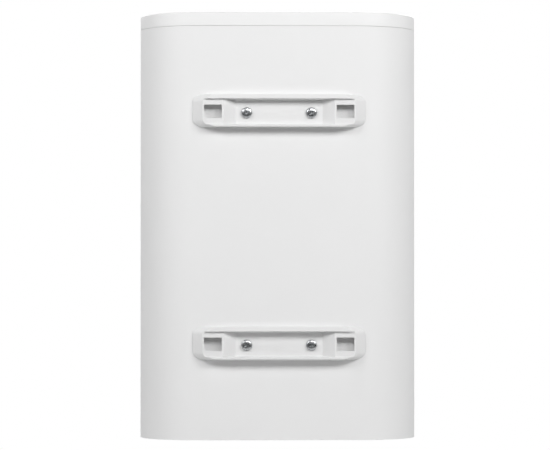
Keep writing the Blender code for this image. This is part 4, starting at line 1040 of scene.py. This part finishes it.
class HEATER_OT_underside(bpy.types.Operator):
    """Builds the bottom cap, the service cover, the nipples, their rings and the gland"""

    bl_idname = "heater.underside"
    bl_label = "Underside"

    def execute(self, context):
        bottom_cap()
        service_cover()
        for number in (1, 2, 3, 4):
            cover_screw(number)
        water_pipe("cold_inlet_pipe")
        water_pipe("hot_outlet_pipe")
        colour_ring("cold_ring", "blue")
        colour_ring("hot_ring", "red")
        cable_gland()
        return {"FINISHED"}


# ---------------------------------------------------------------- controls


def control_panel():
    """The panel's plate with a dish round the knob, and the marks printed round the dish."""
    sizes = bpy.context.scene.heater_controls
    low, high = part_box("control_panel")
    bm = cube_between(low, high)
    round_edges(bm, edges_along(bm, 1), sizes.panel_corner, 12)
    round_edges(bm, edges_at(bm, 1, low.y), sizes.panel_edge, 4)
    knob = node_middle("temperature_knob")
    floor, depth = sizes.dish_radius, sizes.dish_depth
    above = depth / 2
    dish = turned([(0, above), (floor + depth, above), (floor, -depth), (0, -depth)], 96)
    cuts = control_holes(low.y, high.y) + [placed(dish, (knob.x, low.y, knob.z), "-Y")]
    fascia = combined(bm, cuts)
    add_piece("control_panel_fascia", fascia, MATERIALS["panel"], ["control_panel"], bevel=0.25 * MM)
    step = KNOB_TRAVEL / (sizes.scale_marks - 1)
    marks = []
    for number in range(sizes.scale_marks):
        width = (0.5 + 0.045 * number) * MM
        marks.append(tick(KNOB_REST + number * step, sizes.scale_inner, sizes.scale_outer, width))
    bm = moved(gathered(marks), (knob.x, low.y - 0.02 * MM, knob.z))
    add_piece("panel_scale_print", bm, MATERIALS["pale_ink"])


def temperature_knob():
    """A fluted knob with a dished face and an inlaid pointer, on its spindle."""
    sizes = bpy.context.scene.heater_controls
    low, high, centre, radius = extent("temperature_knob")
    back = joint_place("temperature_turn").y
    depth = back - low.y
    profile = [
        (0, depth - 1.0 * MM),
        (radius * 0.55, depth - 0.75 * MM),
        (radius * 0.78, depth - 0.15 * MM),
        (radius * 0.83, depth),
        (radius * 0.875, depth - 0.25 * MM),
        (radius * 0.915, depth - 0.9 * MM),
        (radius * 0.93, depth - 2 * MM),
        (radius * 0.95, 4.2 * MM),
        (radius * 0.955, 2.4 * MM),
        (radius, 1.6 * MM),
        (radius, 0.3 * MM),
        (radius - 0.3 * MM, 0),
        (sizes.spindle, 0),
        (sizes.spindle, back - high.y),
        (0, back - high.y),
    ]
    bm = turned(profile, sizes.knob_flutes * 6)
    for vert in bm.verts:
        reach = vert.co.xy.length
        if 2 * MM < vert.co.z < depth - 0.5 * MM and reach > radius * 0.9:
            wave = math.cos(sizes.knob_flutes * math.atan2(vert.co.y, vert.co.x))
            vert.co.xy *= 1 - sizes.flute_depth / reach * (1 - wave) / 2
    half, inlay_gap = 1 * MM, 0.1 * MM
    inner, outer, floor = radius * 0.32, radius * 0.86, -depth + 1.6 * MM
    groove = cube_between((-half, -depth - CUT_MARGIN, inner), (half, floor, outer))
    half -= inlay_gap
    inner, outer, floor = radius * 0.33, radius * 0.85, floor - inlay_gap
    inlay = cube_between((-half, -depth + 0.7 * MM, inner), (half, floor, outer))
    for bar in (groove, inlay):
        rotated(bar, math.radians(KNOB_REST), "Y")
    bm = combined(placed(bm, (0, 0, 0), "-Y"), [groove])
    place = (centre.x, back, centre.z)
    add_piece(
        "temperature_knob_grip", moved(bm, place), MATERIALS["knob"], ["temperature_knob"], bevel=0.15 * MM
    )
    add_piece(
        "temperature_pointer_inlay",
        moved(inlay, place),
        MATERIALS["black"],
        body="temperature_knob",
    )


def cross_bar(radius, reach):
    """A round bar along x."""
    return rotated(rod(radius, -reach, reach, (0, 0, 0), steps=24), QUARTER_TURN, "Y")


def switch_housing(node):
    """A cup through the panel with a rounded flange round its mouth, and bearings for the key."""
    sizes = bpy.context.scene.heater_controls
    low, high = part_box(node)
    lap, wall = sizes.flange_lap, sizes.cup_wall
    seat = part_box("control_panel")[0].y - SEAT_GAP
    body = cube_between((low.x + lap, seat - lap / 2, low.z + lap), (high.x - lap, high.y, high.z - lap))
    flange = cube_between(low, (high.x, seat, high.z))
    round_edges(flange, edges_along(flange, 1), sizes.flange_corner, 5)
    round_edges(flange, edges_at(flange, 1, low.y), sizes.flange_edge, 3)
    inset = lap + wall
    pocket = cube_between(
        (low.x + inset, low.y - CUT_MARGIN, low.z + inset),
        (high.x - inset, high.y - wall, high.z - inset),
    )
    bm = combined(combined(body, [flange], "UNION"), [pocket])
    pivot = joint_place(node.replace("housing", "rock"))
    gap = sizes.trunnion_gap
    hole = cross_bar(sizes.trunnion + gap, sizes.key_width / 2 + sizes.trunnion_reach + gap)
    bm = combined(bm, [moved(hole, pivot)])
    add_piece(f"{node}_cup", bm, MATERIALS["black"], [node], bevel=0.2 * MM)


def rocker_key(name):
    """A key with a dished front, rounded edges and trunnions, and its two printed signs."""
    sizes = bpy.context.scene.heater_controls
    pivot = joint_place(f"{name}_rock")
    half_w, half_d, half_h = sizes.key_width / 2, sizes.key_depth / 2, sizes.key_height / 2
    bm = cube_between((-half_w, -half_d, -half_h), (half_w, half_d, half_h))
    bmesh.ops.subdivide_edges(bm, edges=edges_along(bm, 2), cuts=15, use_grid_fill=True)
    for vert in bm.verts:
        if vert.co.y < 0:
            vert.co.y += sizes.key_ridge * (1 - (vert.co.z / half_h) ** 2)
    bm = combined(bm, [cross_bar(sizes.trunnion, half_w + sizes.trunnion_reach)], "UNION")
    moved(rotated(bm, sizes.key_tilt, "X"), pivot)
    key = add_piece(
        f"{name}_rocker_key", bm, MATERIALS["gloss_black"], [f"{name}_rocker"], bevel=0.5 * MM, steps=3
    )
    key.modifiers["edges"].angle_limit = math.radians(50)
    sign_share = 0.62
    sign_height = sign_share * half_h
    level = -half_d + sizes.key_ridge * (1 - sign_share**2)
    thick = 0.06 * MM
    bar = cube_between((-0.35 * MM, -thick, -1.8 * MM), (0.35 * MM, thick, 1.8 * MM))
    hoop = placed(ring(1.8 * MM, 1.2 * MM, -thick, thick, 0.01 * MM, 32), (0, 0, 0), "-Y")
    signs = gathered([moved(bar, (0, level, sign_height)), moved(hoop, (0, level, -sign_height))])
    moved(rotated(signs, sizes.key_tilt, "X"), pivot)
    add_piece(
        f"{name}_rocker_print", signs, MATERIALS["pale_ink"], body=f"{name}_rocker"
    )


def pilot_lamp(node, material):
    """A domed lens with a small flange on the panel and a stem through it."""
    radius = bpy.context.scene.heater_controls.lamp_radius
    low, high, centre, _ = extent(node)
    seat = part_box("control_panel")[0].y - SEAT_GAP
    proud = seat - low.y
    arc = [math.radians(a) for a in range(0, 91, 15)]
    dome = [(radius * 0.92 * math.sin(a), proud - radius * 0.45 * (1 - math.cos(a))) for a in arc]
    flange = [(radius * 1.05, 0.9 * MM), (radius * 1.2, 0.6 * MM), (radius * 1.2, 0), (radius, 0)]
    bm = turned(dome + flange + [(radius, seat - high.y), (0, seat - high.y)], 48)
    add_piece(f"{node}_lens", placed(bm, (centre.x, seat, centre.z), "-Y"), MATERIALS[material], [node])


class HEATER_OT_controls(bpy.types.Operator):
    """Builds the panel with its knob, switches and lamps"""

    bl_idname = "heater.controls"
    bl_label = "Controls"

    def execute(self, context):
        control_panel()
        temperature_knob()
        for name in ("power", "boost"):
            switch_housing(f"{name}_housing")
            rocker_key(name)
        pilot_lamp("heating_lamp", "lamp_red")
        pilot_lamp("power_lamp", "lamp_green")
        return {"FINISHED"}


# ---------------------------------------------------------------- thermometer


def gauge_case():
    """A metal cup through the panel, with a rolled bezel and a hole for the needle's shaft."""
    low, high, centre, radius = extent("gauge_case")
    wall, roll, shaft_hole = 1.5 * MM, 1.4 * MM, 0.95 * MM
    cup = radius - wall
    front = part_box("control_panel")[0].y
    bezel, rear = front - low.y, front - high.y
    arc = [math.radians(a) for a in range(0, 91, 15)]
    rim = [(radius - roll * (1 - math.sin(a)), bezel - roll * (1 - math.cos(a))) for a in arc]
    profile = [(cup - wall, bezel - 0.5 * MM), *rim, (radius, SEAT_GAP), (cup, SEAT_GAP), (cup, rear)]
    profile += [(shaft_hole, rear), (shaft_hole, rear + wall), (cup - wall, rear + wall)]
    bm = placed(turned(profile, 96), (centre.x, front, centre.z), "-Y")
    add_piece("gauge_case_bezel", bm, MATERIALS["chrome"], ["gauge_case"])


def dial_turn(celsius):
    return NEEDLE_REST + NEEDLE_TRAVEL / DIAL_TOP * celsius


def gauge_dial():
    """A printed card: a scale of 0 to 80 degrees over 240 degrees of turn."""
    low, high, centre, radius = extent("gauge_dial")
    bm = placed(ring(radius, 1.1 * MM, 0, high.y - low.y, 0.1 * MM, 96), (centre.x, high.y, centre.z), "-Y")
    add_piece("gauge_dial_card", bm, MATERIALS["card"], ["gauge_dial"])
    marks = []
    for celsius in range(0, DIAL_TOP + 1, min(DIAL_TICKS)):
        start, width = next(sizes for step, sizes in DIAL_TICKS.items() if celsius % step == 0)
        marks.append(tick(dial_turn(celsius), radius - start * MM, radius - 1.8 * MM, width * MM))
    for celsius in DIAL_NUMERALS:
        turn = math.radians(dial_turn(celsius))
        reach = radius - 8.2 * MM
        place = (reach * math.sin(turn), 0, reach * math.cos(turn))
        marks.append(moved(flat_mark(str(celsius), 4.2 * MM), place))
    marks.append(moved(flat_mark("\u00b0C", 4.4 * MM), (0, 0, -9.5 * MM)))
    bm = moved(gathered(marks), (centre.x, low.y - 0.03 * MM, centre.z))
    add_piece("gauge_dial_print", bm, MATERIALS["dark_ink"])


def gauge_needle():
    """A tapered pointer with a counterweight, on a domed hub and a thin shaft."""
    low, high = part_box("gauge_needle")
    pivot = joint_place("needle_swing")
    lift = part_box("gauge_dial")[0].y - 1 * MM
    hub, shaft, half, taper = 2.5 * MM, 0.8 * MM, 0.8 * MM, 0.35
    front, back = lift - low.y, lift - high.y
    profile = [(0, front), (hub * 0.7, front), (hub, front * 0.7), (hub, 0)]
    profile += [(shaft, 0), (shaft, back), (0, back)]
    bm = placed(turned(profile, 32), (0, 0, 0), "-Y")
    pointer = cube_between((-half, -half, -3.9 * MM), (half, 0, 15.8 * MM))
    for vert in pointer.verts:
        if vert.co.z > 0:
            vert.co.x *= taper
    rotated(pointer, math.radians(NEEDLE_REST), "Y")
    bm = moved(combined(bm, [pointer], "UNION"), (pivot.x, lift, pivot.z))
    add_piece("gauge_needle_pointer", bm, MATERIALS["needle"], ["gauge_needle"], bevel=0.08 * MM)


def gauge_lens():
    """A clear disc with rounded edges."""
    low, high, centre, radius = extent("gauge_lens")
    disc = ring(radius, 0, 0, high.y - low.y, 0.3 * MM, 96)
    placed(disc, (centre.x, high.y, centre.z), "-Y")
    add_piece("gauge_lens_glass", disc, MATERIALS["glass"], ["gauge_lens"])


class HEATER_OT_thermometer(bpy.types.Operator):
    """Builds the dial thermometer: bezel, dial, needle and lens"""

    bl_idname = "heater.thermometer"
    bl_label = "Thermometer"

    def execute(self, context):
        gauge_case()
        gauge_dial()
        gauge_needle()
        gauge_lens()
        return {"FINISHED"}


# ---------------------------------------------------------------- inside


class HEATER_OT_inner_finishes(bpy.types.Operator):
    """Gives the pieces inside the case their own finishes"""

    bl_idname = "heater.inner_finishes"
    bl_label = "Inner finishes"

    def execute(self, context):
        for node, slot in NODE_SLOTS.items():
            finish = INNER_FINISHES.get(slot)
            if finish is None:
                continue
            for place in frame["nodes"][node].material_slots:
                place.material = MATERIALS[finish]
        return {"FINISHED"}


# ---------------------------------------------------------------- studio


# Each softbox, as seen from behind the heater: turn in degrees from straight behind, positive to the
# right (towards -x), height in degrees, and power in watts.
SOFTBOXES = {
    "rear_left_softbox": (-42, 26, 28),
    "rear_middle_softbox": (6, 28, 23),
    "rear_right_softbox": (38, 26, 40),
    "left_softbox": (-80, 25, 18),
    "right_softbox": (90, 20, 10),
    "front_left_softbox": (-150, 30, 24),
    "front_right_softbox": (150, 35, 33),
}
SOFTBOX_SIZE = 0.9
SOFTBOX_DISTANCE = 3.0

# How strongly the white room lights the heater from its front half and its rear half.
ROOM_FRONT = 0.36
ROOM_REAR = 0.01

CAMERA_LENS = 170.6
CAMERA_PLACE = (0.105, 4.04, -0.267)  # x, distance behind the rear casing, z
CAMERA_TILT = 0.693  # degrees up
CAMERA_YAW = 1.40  # degrees to the right
CAMERA_SHIFT = 0.05

FLOOR_DROP = 0.6
FLOOR_RADIUS = 2.2


def softbox(name, turn, height, power, middle):
    """A square lamp on a circle round the heater, aimed at its middle."""
    turn, height = math.radians(turn), math.radians(height)
    level = math.cos(height)
    outward = Vector((-math.sin(turn) * level, math.cos(turn) * level, math.sin(height)))
    data = bpy.data.lights.new(name, "AREA")
    data.size = SOFTBOX_SIZE
    data.energy = power
    lamp = bpy.data.objects.new(name, data)
    lamp.location = middle + outward * SOFTBOX_DISTANCE
    lamp.rotation_euler = (-outward).to_track_quat("-Z", "Y").to_euler()
    bpy.context.scene.collection.objects.link(lamp)


def studio_world():
    """A room that is plain white to the camera, and lights the heater mostly from its front half."""
    world = bpy.data.worlds.new("studio")
    world.use_nodes = True
    tree = world.node_tree
    tree.nodes.clear()
    where = add_node(tree, "ShaderNodeTexCoord")
    part = add_node(tree, "ShaderNodeSeparateXYZ", inputs={"Vector": where.outputs["Generated"]})
    half = add_node(
        tree,
        "ShaderNodeMapRange",
        inputs={
            "Value": part.outputs["Y"],
            "From Min": -0.05,
            "From Max": 0.05,
            "To Min": ROOM_FRONT,
            "To Max": ROOM_REAR,
        },
    )
    white = (1, 1, 1, 1)
    room = add_node(tree, "ShaderNodeBackground", inputs={"Color": white, "Strength": half.outputs[0]})
    seen = add_node(tree, "ShaderNodeBackground", inputs={"Color": white, "Strength": 1.0})
    ray = add_node(tree, "ShaderNodeLightPath")
    mix = add_node(
        tree,
        "ShaderNodeMixShader",
        inputs={0: ray.outputs["Is Camera Ray"], 1: room.outputs[0], 2: seen.outputs[0]},
    )
    add_node(tree, "ShaderNodeOutputWorld", inputs={"Surface": mix.outputs[0]})
    bpy.context.scene.world = world


def floor_disc(middle, level):
    bm = bmesh.new()
    bmesh.ops.create_circle(bm, cap_ends=True, radius=FLOOR_RADIUS, segments=96)
    floor = scratch_object(moved(bm, (0, middle.y, level)), "floor")
    floor.data.materials.append(surface("pale_floor", linear("#DEDEDE"), 0.8))
    floor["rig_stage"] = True


def rear_camera():
    """A long lens behind the heater, a little off its middle, as for a picture of its wall side."""
    data = bpy.data.cameras.new("camera")
    data.lens = CAMERA_LENS
    data.shift_y = CAMERA_SHIFT
    camera = bpy.data.objects.new("camera", data)
    x, distance, z = CAMERA_PLACE
    camera.location = (x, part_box("rear_casing")[1].y + distance, z)
    tilt, yaw = math.radians(CAMERA_TILT), math.radians(CAMERA_YAW)
    camera.rotation_euler = (QUARTER_TURN + tilt, 0, math.pi - yaw)
    bpy.context.scene.collection.objects.link(camera)
    return camera


class HEATER_OT_studio(bpy.types.Operator):
    """Adds the floor, the lights and the camera"""

    bl_idname = "heater.studio"
    bl_label = "Studio"

    def execute(self, context):
        low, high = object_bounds()
        middle = (low + high) / 2
        floor_disc(middle, low.z - FLOOR_DROP)
        studio_world()
        for name, (turn, height, power) in SOFTBOXES.items():
            softbox(name, turn, height, power, middle)
        context.scene.camera = rear_camera()
        context.scene.view_settings.view_transform = "Standard"
        return {"FINISHED"}

class HEATER_PT_panel(bpy.types.Panel):
    """Lists the heater's sizes, colours and pieces"""

    bl_idname = "HEATER_PT_panel"
    bl_label = "Heater"
    bl_space_type = "VIEW_3D"
    bl_region_type = "UI"
    bl_category = "Heater"

    def draw(self, context):
        for group in GROUPS:
            box = self.layout.box()
            settings = getattr(context.scene, group)
            for key in settings.__annotations__:
                box.prop(settings, key)
        for operator in OPERATORS:
            self.layout.operator(operator.bl_idname)


GROUPS = {
    "heater_case": HeaterCaseSizes,
    "heater_bracket": HeaterBracketSizes,
    "heater_screws": HeaterScrewSizes,
    "heater_controls": HeaterControlSizes,
    "heater_underside": HeaterUndersideSizes,
    "heater_colours": HeaterColours,
}
OPERATORS = [
    HEATER_OT_casing,
    HEATER_OT_top_cap,
    HEATER_OT_brackets,
    HEATER_OT_bracket_screws,
    HEATER_OT_underside,
    HEATER_OT_controls,
    HEATER_OT_thermometer,
    HEATER_OT_inner_finishes,
    HEATER_OT_studio,
]


def register():
    for group, kind in GROUPS.items():
        bpy.utils.register_class(kind)
        setattr(bpy.types.Scene, group, PointerProperty(type=kind))
    for kind in [*OPERATORS, HEATER_PT_panel]:
        bpy.utils.register_class(kind)


def unregister():
    for kind in reversed([*OPERATORS, HEATER_PT_panel]):
        bpy.utils.unregister_class(kind)
    for group, kind in reversed(GROUPS.items()):
        delattr(bpy.types.Scene, group)
        bpy.utils.unregister_class(kind)


def main():
    register()
    make_materials()
    for operator in OPERATORS:
        area, name = operator.bl_idname.split(".")
        getattr(getattr(bpy.ops, area), name)()


if __name__ == "__main__":
    main()
